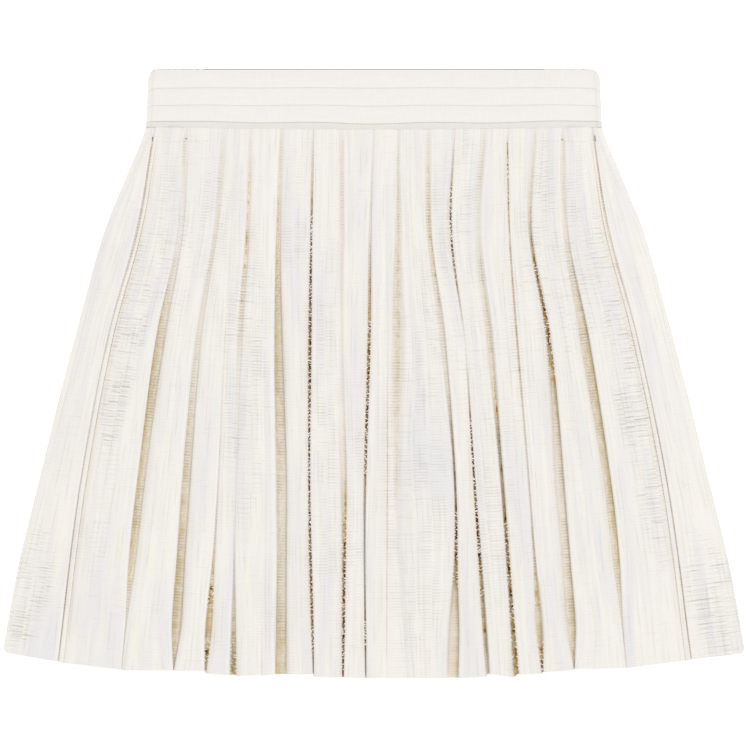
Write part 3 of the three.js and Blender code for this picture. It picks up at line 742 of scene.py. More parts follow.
@dataclass
class SkirtBackHalf(PleatedCloth):
    """One half of the back, face down: its faces lie on the ground and its folds rise inside the skirt."""

    name: str = "skirt_back_cloth"
    side: int = 1
    folds: tuple[Fold, ...] = ()
    fold_parts: tuple[float, ...] = (0.12, 0.245, 0.37, 0.495, 0.62, 0.745, 0.865)
    fold_opening: float = 2.0
    # How dark the shade painted in each fold is, a digit at each of SHAPE_DOWN.
    fold_inside: str = "11333333"
    fold_soft_run: float = 3.0
    rows: int = 60
    wall_steps: int = 6
    face_pitch: float = 6.0
    hem_middle: float = -221.5
    hem_lift: float = 14.0
    hem_curve: float = 2.2
    corner_lift: float = 4.0
    ribs: Waves = Waves(0.4, 11, 90, 160)
    rungs: Waves = Waves(1.0, 12, 120, 200)

    def __post_init__(self) -> None:
        """Makes a fold at each of its parts of the half width."""
        widths = curve_through(SECTION_DOWN, HALF_WIDTH, np.array(PLACE_DOWN))[:, 0]
        self.folds = tuple(
            Fold(tuple(part * widths), (self.fold_opening,) * len(SHAPE_DOWN), (1.0,) * len(PLACE_DOWN),
                 self.fold_inside, Pressed.RIGHT, (self.hem_at(part),) * 2, self.fold_soft_run)
            for part in self.fold_parts)
        super().__post_init__()

    def hem_at(self, part: float) -> float:
        """Height of the hem at a part of the half width: it curves up to the side as a power of the part."""
        return self.hem_middle + self.hem_lift * part**self.hem_curve

    def build(self) -> bpy.types.Object:
        """Builds the half: each fold rises above the ground by its sink; the left half mirrors the right."""
        down, half = self.down[:, None], self.half_width
        rise = curve_through(SECTION_DOWN, BACK_RISE, self.down)
        hems = (self.hem_at(0), self.hem_at(1))
        x, sink, hem, shade, _, frayed = self.columns(0 * half + BACK_GAP, half, rise, hems,
                                                      (0, self.corner_lift))
        top = waist_seam(x) - SEAM_GAP
        y = top + (hem - top) * down
        z = CLOTH / 2 + sink
        if self.side < 0:
            x, y, z, shade, frayed = (values[:, ::-1] for values in (-x, y, z, shade, frayed))
        return self.shell(x, y, z, {
            "fold_shade": shade,
            "frayed": frayed,
            "rib_strength": 0.5 + self.ribs.at(x, y),
            "ladder_strength": 0.5 * smooth(self.rungs.at(x, y)),
        })


@dataclass(frozen=True)
class Lap:
    """A lap across the waistband: its edge below the top, its sag in the middle and the step behind it."""

    below: float
    sag: float
    step: float


BAND_LAPS = (Lap(14.1, 0.0, 0.22), Lap(26.7, 0.5, 0.22), Lap(38.2, 2.0, 0.35))


@dataclass
class Waistband:
    """A piece of the waistband as a loft of outlines along x, with or without laps, in millimetres.

    Its level is that of the middle of its cloth, at the ends and along the middle.
    """

    name: str
    laps: tuple[Lap, ...]
    ends: tuple[float, float]
    levels: tuple[float, float]
    columns: int = 180
    top_y: float = TOP_Y
    cloth: float = 2.2
    end_reach: float = 40.0
    corner: float = 7.0
    flare: float = 0.04
    top_edge: float = 0.6
    round_steps: int = 7
    back_steps: int = 6
    seam_gap: float = 0.02
    lap_points: int = 15
    lap_end_reach: float = 6.0
    lap_waves: Waves = Waves(0.25, 21, 120, 100)
    forward_rate: float = 1.6
    lowest_set_back: float = 0.12
    undercut_from: float = 0.98
    undercut_share: float = 0.5
    lap_shadow: float = 0.3
    shadow_rate: float = 60.0
    lowest_shade: float = 0.15
    upper_shade: float = 0.04
    # A line of painted shade near each end: its distance from the end, its width and its darkness.
    end_shade_line: tuple[float, float, float] = (3.2, 0.8, 0.12)

    def profile(self) -> tuple[Rows, Rows, Rows]:
        """Front of the band from its top down.

        Each strip is shingled: it starts set back behind the lap above and comes forward to its own lower
        edge, which is rounded and undercut. A shadow is painted under each lap and fades as exp(-distance),
        each strip is painted a little darker towards its top, and the lowest strip darker still.

        Returns:
            For each point, the number of the lap line it follows with its part towards the next one, how far
            it stands forward of the deepest cloth, and its shade.
        """
        part, proud, shade = [], [], []
        s = smooth(np.linspace(0, 1, self.lap_points))
        for strip in range(len(self.laps) + 1):
            lowest = strip == len(self.laps)
            back = self.laps[strip - 1].step if strip else 0.0
            under = self.lowest_set_back if lowest else (
                self.undercut_share * self.laps[strip].step
                * smooth((s - self.undercut_from) / (1 - self.undercut_from)))
            shadow = self.lap_shadow * np.exp(-s * self.shadow_rate) if strip else 0.0
            part.append(strip + s)
            proud.append(-back * (1 - smooth(s * self.forward_rate)) - under)
            shade.append(shadow + (self.lowest_shade if lowest else 0) + self.upper_shade * (1 - s))
        return np.concatenate(part), np.concatenate(proud), np.concatenate(shade)

    def stations(self, x: Rows, bottom: Rows) -> Rows:
        """Distance below the top of the band's top, of each lap's edge, sagging and wavy, and of the seam."""
        wavy = self.lap_waves.at(x, 0 * x)
        edges = [lap.below + lap.sag * bow(x) + wavy * (number + 1) / 2
                 for number, lap in enumerate(self.laps)]
        return np.concatenate([0 * x, *edges, bottom - self.seam_gap], 1)

    def build(self) -> bpy.types.Object:
        """Builds the band: the front profile, the plain back and a rounded top, at each x.

        Both outer ends have a rounded upper corner, and the band comes down to them.
        """
        x = np.linspace(*self.ends, self.columns)[:, None]
        part, proud, shade = self.profile()
        bottom = self.top_y - waist_seam(x)
        stations = self.stations(x, bottom)
        low = np.minimum(part.astype(int), stations.shape[1] - 2)
        share = (part - low)[None, :]
        below = stations[:, low] * (1 - share) + stations[:, low + 1] * share
        from_end = BAND_HALF_WIDTH - np.abs(x)
        rounded = self.corner**2 - np.maximum(0, self.corner - from_end) ** 2
        drop = self.corner - np.sqrt(np.maximum(0, rounded))
        y_front = self.top_y - (drop + below * (bottom - drop) / bottom)
        level = self.levels[0] + (self.levels[1] - self.levels[0]) * smooth(from_end / self.end_reach)
        z_front = level + self.cloth / 2 + proud[None, :] * smooth(from_end / self.lap_end_reach)
        y_front = np.concatenate([y_front[:, :1] - self.top_edge, y_front[:, 1:]], 1)
        turn = np.linspace(np.pi, 0, self.round_steps)[None, 1:-1]
        y_top = y_front[:, :1] + self.top_edge * np.sin(turn)
        z_top = level + self.cloth / 2 * np.cos(turn)
        up = np.linspace(0, 1, self.back_steps)[None, :]
        y_back = y_front[:, -1:] + (y_front[:, :1] - y_front[:, -1:]) * up
        ring_y = np.concatenate([y_front, y_back, y_top], 1)
        ring_z = np.concatenate([z_front, level - self.cloth / 2 + 0 * y_back, z_top], 1)
        ring_x = x * (1 + self.flare * (self.top_y - ring_y) / BAND_HALF_WIDTH)
        inset, width, dark = self.end_shade_line
        # Painted shade: under the laps, on each strip and along a line near each end.
        shades = np.pad(shade, (0, ring_y.shape[1] - len(shade)))[None, :]
        shades = shades + dark * np.exp(-((from_end - inset) / width) ** 2)
        return self.close(np.stack([ring_x, ring_y, ring_z], -1), shades)

    def close(self, rings: Rows, shade: Rows) -> bpy.types.Object:
        """Joins the outlines into a closed body, with a fan over a middle point at each end."""
        count, around = rings.shape[:2]
        number = np.arange(count * around).reshape(count, around)
        following = np.roll(number, -1, 1)
        sides = np.stack([number[:-1], following[:-1], following[1:], number[1:]], -1).reshape(-1, 4)
        first = np.stack([np.full(around, count * around), following[0], number[0]], -1)
        last = np.stack([np.full(around, count * around + 1), number[-1], following[-1]], -1)
        triangles = np.concatenate([sides[:, [0, 1, 2]], sides[:, [0, 2, 3]], first, last])
        points = np.concatenate([rings.reshape(-1, 3), rings[[0, -1]].mean(1)])
        shades = np.concatenate([shade.ravel(), [0, 0]])
        return make_mesh(self.name, points * MM, triangles, points[:, :2] * MM, {"fold_shade": shades})


def bead(rings: int = 3, sides: int = 6) -> tuple[Rows, Rows]:
    """A unit ball of a few faces.

    Its rings lie at (sin b cos a, sin b sin a, cos b), with b from pole to pole and a once round.

    Args:
        rings: Rings between the poles.
        sides: Points in a ring.

    Returns:
        Points, and the triangles between them.
    """
    b = np.linspace(0, np.pi, rings + 2)[1:-1, None]
    a = np.linspace(0, 2 * np.pi, sides, endpoint=False)[None, :]
    ring = np.stack([np.sin(b) * np.cos(a), np.sin(b) * np.sin(a), np.cos(b) + 0 * a], -1).reshape(-1, 3)
    points = np.concatenate([ring, [(0, 0, 1), (0, 0, -1)]])
    number = np.arange(rings * sides).reshape(rings, sides)
    beside = np.roll(number, -1, 1)
    quads = np.stack([number[:-1], number[1:], beside[1:], beside[:-1]], -1).reshape(-1, 4)
    top = np.stack([np.full(sides, rings * sides), number[0], beside[0]], -1)
    low = np.stack([np.full(sides, rings * sides + 1), beside[-1], number[-1]], -1)
    return points, np.concatenate([quads[:, [0, 1, 2]], quads[:, [0, 2, 3]], top, low])


def scatter_beads(name: str, centres: Rows, halves: Rows, turns: Rows, shade: float) -> bpy.types.Object:
    """Joins stretched beads into one piece.

    Each bead is a unit ball times its half sizes, turned about Z and moved to its place.

    Args:
        name: Name of the piece.
        centres: Middle of each bead, in millimetres.
        halves: Half sizes of each bead.
        turns: Turn of each bead about Z.
        shade: Value of fold_shade for all of them.

    Returns:
        The piece.
    """
    ball, triangles = bead()
    shaped = ball[None] * halves[:, None]
    cos, sin = np.cos(turns)[:, None], np.sin(turns)[:, None]
    turned = np.stack([shaped[..., 0] * cos - shaped[..., 1] * sin,
                       shaped[..., 0] * sin + shaped[..., 1] * cos, shaped[..., 2]], -1)
    points = (turned + centres[:, None]).reshape(-1, 3)
    faces = (triangles[None] + len(ball) * np.arange(len(centres))[:, None, None]).reshape(-1, 3)
    none = np.zeros(len(points))
    marks = {"fold_shade": none + shade, "frayed": none, "rib_strength": none, "ladder_strength": none}
    return make_mesh(name, points * MM, faces, points[:, :2] * MM, marks)


@dataclass
class EdgeNubs:
    """Thick slubs of weft yarn that stand out along the edges of the narrow, dark folds, in millimetres."""

    name: str = "fold_edge_slubs"
    pitch: tuple[float, float] = (1.2, 5.0)
    most: int = 200
    lowest: float = 400.0
    reach: tuple[float, float] = (0.7, 2.2)
    thick: tuple[float, float] = (0.28, 0.55)
    inside: tuple[float, float] = (0.1, 0.7)
    proud: float = 0.25
    widest_turn: float = 1.0
    least_shade: float = 0.4
    widest: float = 4.2
    # fold_shade of the slubs: below 0, a painted highlight that makes them lighter than the face.
    light: float = -0.08
    seed: int = 5

    def build(self, front: SkirtFront) -> bpy.types.Object:
        """Sets slubs at uneven steps along both lips of each fold, where it is dark, narrow and frayed."""
        draw = np.random.default_rng(self.seed)
        x, y, z = front.grid
        places = []
        for fold, side, column in front.lips:
            steps = np.cumsum(draw.uniform(*self.pitch, self.most))
            down = steps[steps < self.lowest]
            rows = waist_seam(0.0) - y[:, column]
            kept = down[(np.interp(down, rows, front.shade[:, fold]) > self.least_shade)
                        & (np.interp(down, rows, front.opening[:, fold]) < self.widest)
                        & (front.folds[fold].frayed > 0)]
            lip_x, lip_z = np.interp(kept, rows, x[:, column]), np.interp(kept, rows, z[:, column])
            shift = -side * draw.uniform(*self.inside, len(kept))
            places.append(np.stack([lip_x + shift, waist_seam(0.0) - kept, lip_z + self.proud], -1))
        centres = np.concatenate(places)
        count = len(centres)
        halves = np.stack([draw.uniform(*sizes, count) for sizes in (self.reach, self.thick, self.thick)], -1)
        turns = draw.uniform(-self.widest_turn, self.widest_turn, count)
        return scatter_beads(self.name, centres, halves, turns, self.light)


@dataclass(frozen=True)
class StitchRun:
    """A straight row of stitches between two points (x, y), in millimetres."""

    start: tuple[float, float]
    end: tuple[float, float]
    pitch: float
    length: float
    thick: float = 0.22


TACK_ROWS = (
    StitchRun((-159.8, 171.0), (-122.0, 171.6), 2.9, 2.0),
    StitchRun((123.0, 171.6), (159.8, 171.0), 2.9, 2.0),
    StitchRun((-53.0, 170.2), (-41.0, 169.8), 2.6, 1.8, 0.18),
)
TACKS = (
    StitchRun((-164.0, 175.0), (-163.8, 171.4), 1.8, 1.5, 0.42),
    StitchRun((-138.8, 173.2), (-138.6, 173.2), 1.0, 1.1, 0.5),
    StitchRun((139.0, 172.6), (139.2, 172.6), 1.0, 1.1, 0.5),
    StitchRun((163.4, 176.0), (164.0, 171.4), 1.8, 1.5, 0.42),
    StitchRun((98.2, 171.0), (98.3, 168.4), 1.8, 1.5, 0.36),
)


@dataclass
class Stitching:
    """Rows of stitches on the front, each a stretched bead along its row, part sunk in the cloth."""

    name: str
    runs: tuple[StitchRun, ...]
    proud_part: float = 0.3

    def build(self, front: SkirtFront) -> bpy.types.Object:
        """Sets the stitches on the cloth."""
        centres, halves, turns = [], [], []
        for run in self.runs:
            start, end = np.array(run.start), np.array(run.end)
            count = max(1, round(float(np.linalg.norm(end - start)) / run.pitch))
            part = (np.arange(count) + 0.5) / count
            spots = start + (end - start) * part[:, None]
            top = front.top_at(spots[:, 0], spots[:, 1])
            centres.append(np.column_stack([spots, top + self.proud_part * run.thick]))
            halves.append(np.tile([run.length / 2, run.thick, run.thick], (count, 1)))
            turns.append(np.full(count, np.arctan2(end[1] - start[1], end[0] - start[0])))
        return scatter_beads(self.name, *map(np.concatenate, (centres, halves, turns)), 0.0)


# Kinds of node that come up often, and the settings they take.
MATH, STEP, MIX, MARK = "ShaderNodeMath", "ShaderNodeMapRange", "ShaderNodeMix", "ShaderNodeAttribute"
PLUS, TIMES, TIMES_PLUS = {"operation": "ADD"}, {"operation": "MULTIPLY"}, {"operation": "MULTIPLY_ADD"}
SMOOTHLY = {"interpolation_type": "SMOOTHSTEP"}
COLOURS = {"out": 2, "data_type": "RGBA"}


def add_node(tree: bpy.types.NodeTree, kind: str, inputs: dict | tuple = (), out: int | str = 0,
             **settings: object) -> Socket | None:
    """Adds a node, sets its settings and fills or links its inputs.

    Args:
        tree: Node tree to add to.
        kind: Type name of the node.
        inputs: Value or output socket for each input, by its name or place, or in their order.
        out: Output to return, by its name or place.
        **settings: Settings of the node.

    Returns:
        That output of the new node, if it has any.
    """
    node = tree.nodes.new(kind)
    for name, value in settings.items():
        setattr(node, name, value)
    for name, value in (inputs.items() if isinstance(inputs, dict) else enumerate(inputs)):
        if isinstance(value, Socket):
            tree.links.new(value, node.inputs[name])
        else:
            node.inputs[name].default_value = value
    return node.outputs[out] if len(node.outputs) else None


def stretched_noise(add: Callable, place: Socket, scale: tuple[float, float, float], detail: float = 2.0,
                    **settings: object) -> Socket:
    """Noise with its own size along each axis.

    Args:
        add: Adds a node to the tree.
        place: Place that the noise is read at, in metres.
        scale: Cells of noise in a metre, along each axis.
        detail: Detail of the noise.
        **settings: Settings of the noise.

    Returns:
        The noise, from 0 to 1.
    """
    spot = add("ShaderNodeVectorMath", (place, scale), **TIMES)
    return add("ShaderNodeTexNoise", {"Vector": spot, "Scale": 1.0, "Detail": detail}, **settings)


@dataclass(frozen=True)
class Finish:
    """A real material, whose own class adds the nodes that make its look."""

    name: str

    def build(self) -> bpy.types.Material:
        """Returns the material."""
        material = bpy.data.materials.new(self.name)
        material.use_nodes = True
        material.node_tree.nodes.clear()
        add = partial(add_node, material.node_tree)
        add("ShaderNodeOutputMaterial", (self.surface(add),))
        return material

    def surface(self, add: Callable) -> Socket:
        """Adds the nodes of the look and returns the shader; add is add_node for this tree."""
        raise NotImplementedError


@dataclass(frozen=True)
class Dashes:
    """Dashes across the cloth in columns of cell_mm, each column with its own start.

    In a column they lie pitch_mm apart. thin is half the height of a dash as a part of the pitch, and soft
    the same out to where it has faded away. A dash shows where its chance, from 0 to 1, is above least, and
    the seed sets these dashes apart from others.
    """

    pitch_mm: float
    cell_mm: float
    thin: float
    soft: float
    least: float
    seed: float


class WovenGround:
    """Place on the cloth, from its own UV map, and the patterns that follow its uneven yarns."""

    cell_bend_mm = 5.0
    dash_bend_mm = 0.9
    last_chance = 1.1
    cell_ends = (0.5, 0.4)

    def __init__(self, add: Callable) -> None:
        """Adds the place and the slow unevenness that bends the yarns; add is add_node for this tree."""
        self.add = add
        self.uv = add("ShaderNodeUVMap", uv_map="cloth")
        self.across = add("ShaderNodeSeparateXYZ", (self.uv,))
        self.down = self.across.node.outputs[1]
        self.broad = self.noise(14, 160)
        self.wobble = self.noise(9, 9)

    def noise(self, across_mm: float, down_mm: float, detail: float = 2.0) -> Socket:
        """Noise stretched to a size across and down the cloth."""
        scale = (1 / (across_mm * MM), 1 / (down_mm * MM), 1)
        return stretched_noise(self.add, self.uv, scale, detail, noise_dimensions="2D")

    def turns(self, place: Socket, pitch_mm: float, bend: Socket, bend_mm: float) -> Socket:
        """Counts a pitch along a place that noise bends by some millimetres."""
        even = self.add(MATH, (place, 1 / (pitch_mm * MM)), **TIMES)
        return self.add(MATH, (even, self.add(MATH, (bend, bend_mm / pitch_mm), **TIMES)), **PLUS)

    def off_middle(self, turn: Socket) -> Socket:
        """Distance from the middle of each turn, from 0 to a half."""
        part = self.add(MATH, (self.add(MATH, (turn,), operation="FRACT"), 0.5), operation="SUBTRACT")
        return self.add(MATH, (part,), operation="ABSOLUTE")

    def dashed(self, dashes: Dashes) -> Socket:
        """Draws dashes: 1 in a dash and 0 outside, each dash as strong as its chance makes it."""
        add, columns = self.add, self.turns(self.across, dashes.cell_mm, self.broad, self.cell_bend_mm)
        column = add(MATH, (add(MATH, (columns,), operation="FLOOR"), dashes.seed), **PLUS)
        start = add("ShaderNodeTexWhiteNoise", {"W": column}, noise_dimensions="1D")
        even = self.turns(self.down, dashes.pitch_mm, self.wobble, self.dash_bend_mm)
        rows = add(MATH, (even, start), **PLUS)
        number = add("ShaderNodeCombineXYZ", (column, add(MATH, (rows,), operation="FLOOR")))
        chance = add("ShaderNodeTexWhiteNoise", {"Vector": number}, noise_dimensions="2D")
        line = add(STEP, (self.off_middle(rows), dashes.soft, dashes.thin), **SMOOTHLY)
        ends = add(STEP, (self.off_middle(columns), *self.cell_ends), **SMOOTHLY)
        strong = add(STEP, (chance, dashes.least, self.last_chance), **SMOOTHLY)
        shown = add(MATH, (strong, ends), **TIMES)
        return add(MATH, (line, shown), **TIMES)


@dataclass(frozen=True)
class SlubCotton(Finish):
    """Undyed slub cotton, woven with uneven yarns and crinkled.

    It looks matt and ivory. Thick yarns run across as ribs and down as streaks, faint rungs stand where the
    weave was drawn together, and deep in a fold, where little light comes back, shade from beige to nearly
    black is painted into its colour, with a painted highlight beside the dark side of a fold. Real yarns lie
    about 0.5 mm apart, which is too fine to show, so the ribs, dashes, cords and grain are drawn as coarse as
    they need to be seen.
    """

    name: str = "slub_cotton"
    ivory: str = "eeebe7"
    cream: str = "f4f0e8"
    pale: str = "eae8e7"
    # edge is a painted highlight; beige, tan, olive and dark are painted shade deep in the folds, and the
    # last colour warms that shade where it is speckled.
    edge: str = "faf8f5"
    gap: str = "8a8070"
    beige: str = "e7decf"
    tan: str = "d3c3a0"
    olive: str = "cba540"
    dark: str = "735610"
    shade_warmth: str = "fdeabe"
    ribs: Dashes = Dashes(2.2, 11.0, 0.05, 0.34, -1.0, 0.5)
    short_rows: Dashes = Dashes(3.6, 7.4, 0.03, 0.17, -0.5, 3.5)
    rungs: Dashes = Dashes(12.6, 17.0, 0.015, 0.045, 0.0, 8.5)
    cord_mm: float = 3.4
    cord_bend_mm: float = 6.8
    cord_line: tuple[float, float] = (0.16, 0.04)
    streak_mm: float = 3.2
    slub_mm: tuple[float, float] = (16.0, 1.3)
    grain_mm: float = 0.9

    # Weave: where noise lets it show, how strong it is outside its patches, and how dark rib gaps look.
    clusters: tuple[float, float] = (0.40, 0.60)
    between_clusters: float = 0.35
    corded: tuple[float, float] = (0.42, 0.66)
    faint_ribs: float = 0.22
    rungs_with_ribs: float = 0.3
    rib_gap: float = 0.11
    rib_gap_in_fold: float = 0.31

    # Shade or noise at which each look starts and is full.
    speckle_shades: tuple[float, float] = (0.22, 0.46)
    fold_shades: tuple[float, float] = (0.1, 0.35)
    ragged_shades: tuple[float, float] = (0.05, 0.3)
    off_face_shades: tuple[float, float] = (0.02, 0.2)
    thick_slubs: tuple[float, float] = (0.62, 0.8)
    coarse_grain: tuple[float, float] = (0.55, 0.8)
    streaked: tuple[float, float] = (0.3, 0.7)
    clouded: tuple[float, float] = (0.45, 0.75)

    # Loose yarns in a fold, drawn as noise in its painted shade: how far they change it, and how much more in
    # narrow, dark folds.
    ragged: float = 0.4
    ragged_where_speckled: float = 2.8
    face_stop: float = 0.25

    roughness: float = 0.88
    bump_depth: float = 0.00045

    def surface(self, add: Callable) -> Socket:
        """Joins the cloth's colour, the dark gaps between its yarns and their relief."""
        ground = WovenGround(add)
        shade = add(MARK, out="Fac", attribute_name="fold_shade")
        # Where the painted shade in a narrow, dark fold is speckled and warmed, standing for loose yarn.
        speckled_shade = add(MATH, (add(MARK, out="Fac", attribute_name="frayed"),
                          add(STEP, (shade, *self.speckle_shades), **SMOOTHLY)), **TIMES)
        streaks = ground.noise(self.streak_mm, 90)
        slubs = ground.noise(*self.slub_mm)
        grain = ground.noise(self.grain_mm, self.grain_mm, 1.0)
        ribs, short_rows, rungs, cords = self.lines(ground)

        in_fold = add(STEP, (shade, *self.fold_shades), **SMOOTHLY)
        rib_gap = add(MATH, (in_fold, self.rib_gap_in_fold - self.rib_gap, self.rib_gap), **TIMES_PLUS)
        slub_spots = add(STEP, (slubs, *self.thick_slubs), **SMOOTHLY)
        grain_spots = add(STEP, (grain, *self.coarse_grain), **SMOOTHLY)
        gaps, height = 0.0, 0.0
        for pattern, strength in ((ribs, rib_gap), (rungs, 0.2), (short_rows, 0.28), (cords, 0.1),
                                  (slub_spots, 0.08), (grain_spots, 0.05)):
            gaps = add(MATH, (pattern, strength, gaps), **TIMES_PLUS)
        for pattern, rise in ((ribs, -0.5), (rungs, -0.6), (short_rows, -0.6), (cords, -0.3), (streaks, 0.55),
                              (slubs, 0.25), (grain, 0.16)):
            height = add(MATH, (pattern, rise, height), **TIMES_PLUS)
        colour = add(MIX, {0: gaps, 6: self.ground_colour(ground, shade, speckled_shade, streaks), 7: linear(self.gap)},
                     **COLOURS, clamp_factor=True)
        bump = add("ShaderNodeBump", {"Height": height, "Strength": 0.6, "Distance": self.bump_depth})
        return add("ShaderNodeBsdfPrincipled", {
            "Base Color": colour, "Roughness": self.roughness, "Normal": bump, "IOR": 1.5,
            "Specular IOR Level": 0.25, "Sheen Weight": 0.1, "Sheen Roughness": 0.5})

    def lines(self, ground: WovenGround) -> tuple[Socket, ...]:
        """Adds the lines of the weave, strong in their patches and elsewhere faint.

        Args:
            ground: Place on the cloth.

        Returns:
            Ribs, short rows, long rungs, and cords that run down the cloth.
        """
        add, noise = ground.add, ground.noise
        rib_zone = add(MARK, out="Fac", attribute_name="rib_strength")
        rung_zone = add(MARK, out="Fac", attribute_name="ladder_strength")
        clusters = add(STEP, (noise(16, 34), *self.clusters), **SMOOTHLY)
        some = add(MATH, (clusters, 0.75, self.between_clusters), **TIMES_PLUS)
        ribbed = add(MATH, (add(MATH, (rib_zone, self.faint_ribs), **PLUS), some), **TIMES)
        in_rows = add(MATH, (rung_zone, some), **TIMES)
        laddered = add(MATH, (rib_zone, self.rungs_with_ribs, rung_zone), **TIMES_PLUS)
        ribs, short_rows, rungs = (
            add(MATH, (ground.dashed(dashes), zone), **TIMES)
            for dashes, zone in ((self.ribs, ribbed), (self.short_rows, in_rows), (self.rungs, laddered)))
        cord_turn = ground.turns(ground.across, self.cord_mm, ground.broad, self.cord_bend_mm)
        cord = add(STEP, (ground.off_middle(cord_turn), *self.cord_line), **SMOOTHLY)
        corded = add(STEP, (noise(6, 30), *self.corded), **SMOOTHLY)
        return ribs, short_rows, rungs, add(MATH, (cord, corded), **TIMES)

    def ground_colour(self, ground: WovenGround, shade: Socket, speckled_shade: Socket, streaks: Socket) -> Socket:
        """Colour of the cloth: ivory on its faces, and down a ramp to dark in the folds.

        In the folds the ramp is painted shade; noise standing for loose yarns breaks it into lighter and
        darker bits at random, and warms it where they show most.

        Args:
            ground: Place on the cloth.
            shade: How dark the painted shade is, below 0 for a painted highlight lighter than the face.
            speckled_shade: How far the painted shade is speckled and warmed, standing for loose yarn.
            streaks: Noise of the yarns that run down.

        Returns:
            The colour without the gaps of the weave.
        """
        add, noise = ground.add, ground.noise
        yarns = add(MATH, (noise(2.4, 3.6, 1.0), 0.6, -0.65), **TIMES_PLUS)
        yarns = add(MATH, (noise(3.5, 9, 1.0), 0.7, yarns), **TIMES_PLUS)
        reach = add(MATH, (speckled_shade, self.ragged_where_speckled, self.ragged), **TIMES_PLUS)
        ragged = add(MATH, (yarns, reach), **TIMES)
        in_fold = add(STEP, (shade, *self.ragged_shades), **SMOOTHLY)
        inside = add(MATH, (ragged, in_fold, shade), **TIMES_PLUS)
        place = add(MATH, (inside, 1 - self.face_stop, self.face_stop), **TIMES_PLUS, use_clamp=True)
        ramp = add("ShaderNodeValToRGB", (place,))
        # From a painted highlight at the edge, through the ivory face, to painted shade from beige to dark in
        # the folds.
        stops = ((0.0, self.edge), (self.face_stop, self.ivory), (0.50, self.beige), (0.68, self.tan),
                 (0.85, self.olive), (1.0, self.dark))
        elements = ramp.node.color_ramp.elements
        while len(elements) < len(stops):
            elements.new(0.5)
        for element, (position, code) in zip(elements, stops):
            element.position = position
            element.color = linear(code)
        streaked = add(STEP, (streaks, *self.streaked), **SMOOTHLY)
        face = add(MIX, {0: streaked, 6: linear(self.ivory), 7: linear(self.cream)}, **COLOURS)
        clouded = add(STEP, (ground.broad, *self.clouded), **SMOOTHLY)
        face = add(MIX, {0: clouded, 6: face, 7: linear(self.pale)}, **COLOURS)
        warmed = add(MIX, {0: speckled_shade, 6: ramp, 7: linear(self.shade_warmth)}, **COLOURS, blend_type="MULTIPLY")
        strength = add(MATH, (shade,), operation="ABSOLUTE")
        off_face = add(STEP, (strength, *self.off_face_shades), **SMOOTHLY)
        return add(MIX, {0: off_face, 6: face, 7: warmed}, **COLOURS)


@dataclass(frozen=True)
class BandCotton(Finish):
    """Tightly woven cotton over a stiffened waistband.

    It looks whiter and smoother than the pleats, with a fine even weave and a warm shadow under each lap.
    Its real weave, about 0.3 mm, is too fine to show, so it is drawn at 0.9 mm.
    """

    name: str = "band_cotton"
    white: str = "f4f2ef"
    warm: str = "f1eee8"
    shadow: str = "a39a86"
    weave_mm: float = 0.9
    yarn_mm: float = 9.0
    height_scale: float = 200.0
    roughness: float = 0.8
    bump_depth: float = 0.0003

    def surface(self, add: Callable) -> Socket:
        """Adds a cloudy white, a fine weave and the shadow under the laps."""
        place = add("ShaderNodeTexCoord", out="Object")
        shade = add(MARK, out="Fac", attribute_name="fold_shade")
        cloudy, weft, warp = (
            stretched_noise(add, place, (1 / (along * MM), 1 / (across * MM), self.height_scale))
            for along, across in ((40, 6), (self.yarn_mm, self.weave_mm), (self.weave_mm, self.yarn_mm)))
        weave = add(MATH, (weft, warp), **PLUS)
        base = add(MIX, {0: cloudy, 6: linear(self.white), 7: linear(self.warm)}, **COLOURS)
        fine = add(STEP, {"Value": weave, "From Min": 0.8, "From Max": 1.3, "To Max": 0.05})
        total = add(MATH, (fine, shade), **PLUS, use_clamp=True)
        colour = add(MIX, {0: total, 6: base, 7: linear(self.shadow)}, **COLOURS)
        bump = add("ShaderNodeBump", {"Height": weave, "Strength": 0.35, "Distance": self.bump_depth})
        return add("ShaderNodeBsdfPrincipled", {
            "Base Color": colour, "Roughness": self.roughness, "Normal": bump,
            "Specular IOR Level": 0.3, "Sheen Weight": 0.08})


@dataclass(frozen=True)
class ZipTape(Finish):
    """Woven polyester zip tape with a moulded nylon coil beside it: smooth, cream and slightly glossy."""

    name: str = "zip_tape_polyester"
    cream: str = "e8e2d4"
    rib: str = "d8d0bf"
    rib_mm: float = 1.1
    roughness: float = 0.5
    bump_depth: float = 0.0002

    def surface(self, add: Callable) -> Socket:
        """Adds the ribs of the tape."""
        place = add("ShaderNodeTexCoord", out="Object")
        wave = add("ShaderNodeTexWave", {"Vector": place, "Scale": 1 / (2 * np.pi * self.rib_mm * MM),
                                         "Distortion": 0.6}, out="Fac", bands_direction="Y")
        colour = add(MIX, {0: wave, 6: linear(self.cream), 7: linear(self.rib)}, **COLOURS)
        bump = add("ShaderNodeBump", {"Height": wave, "Strength": 0.4, "Distance": self.bump_depth})
        return add("ShaderNodeBsdfPrincipled", {"Base Color": colour, "Roughness": self.roughness,
                                                "Normal": bump})


@dataclass(frozen=True)
class SewingThread(Finish):
    """Spun polyester sewing thread: matt, cream, with a fine twist, drawn at twice its real 0.25 mm."""

    name: str = "sewing_thread"
    cream: str = "efeae0"
    tan: str = "d3c6ac"
    twist_mm: float = 0.5
    roughness: float = 0.7

    def surface(self, add: Callable) -> Socket:
        """Adds the twist of the thread."""
        place = add("ShaderNodeTexCoord", out="Object")
        twist = add("ShaderNodeTexNoise", {"Vector": place, "Scale": 1 / (self.twist_mm * MM), "Detail": 1.0})
        colour = add(MIX, {0: twist, 6: linear(self.cream), 7: linear(self.tan)}, **COLOURS)
        return add("ShaderNodeBsdfPrincipled", {"Base Color": colour, "Roughness": self.roughness})


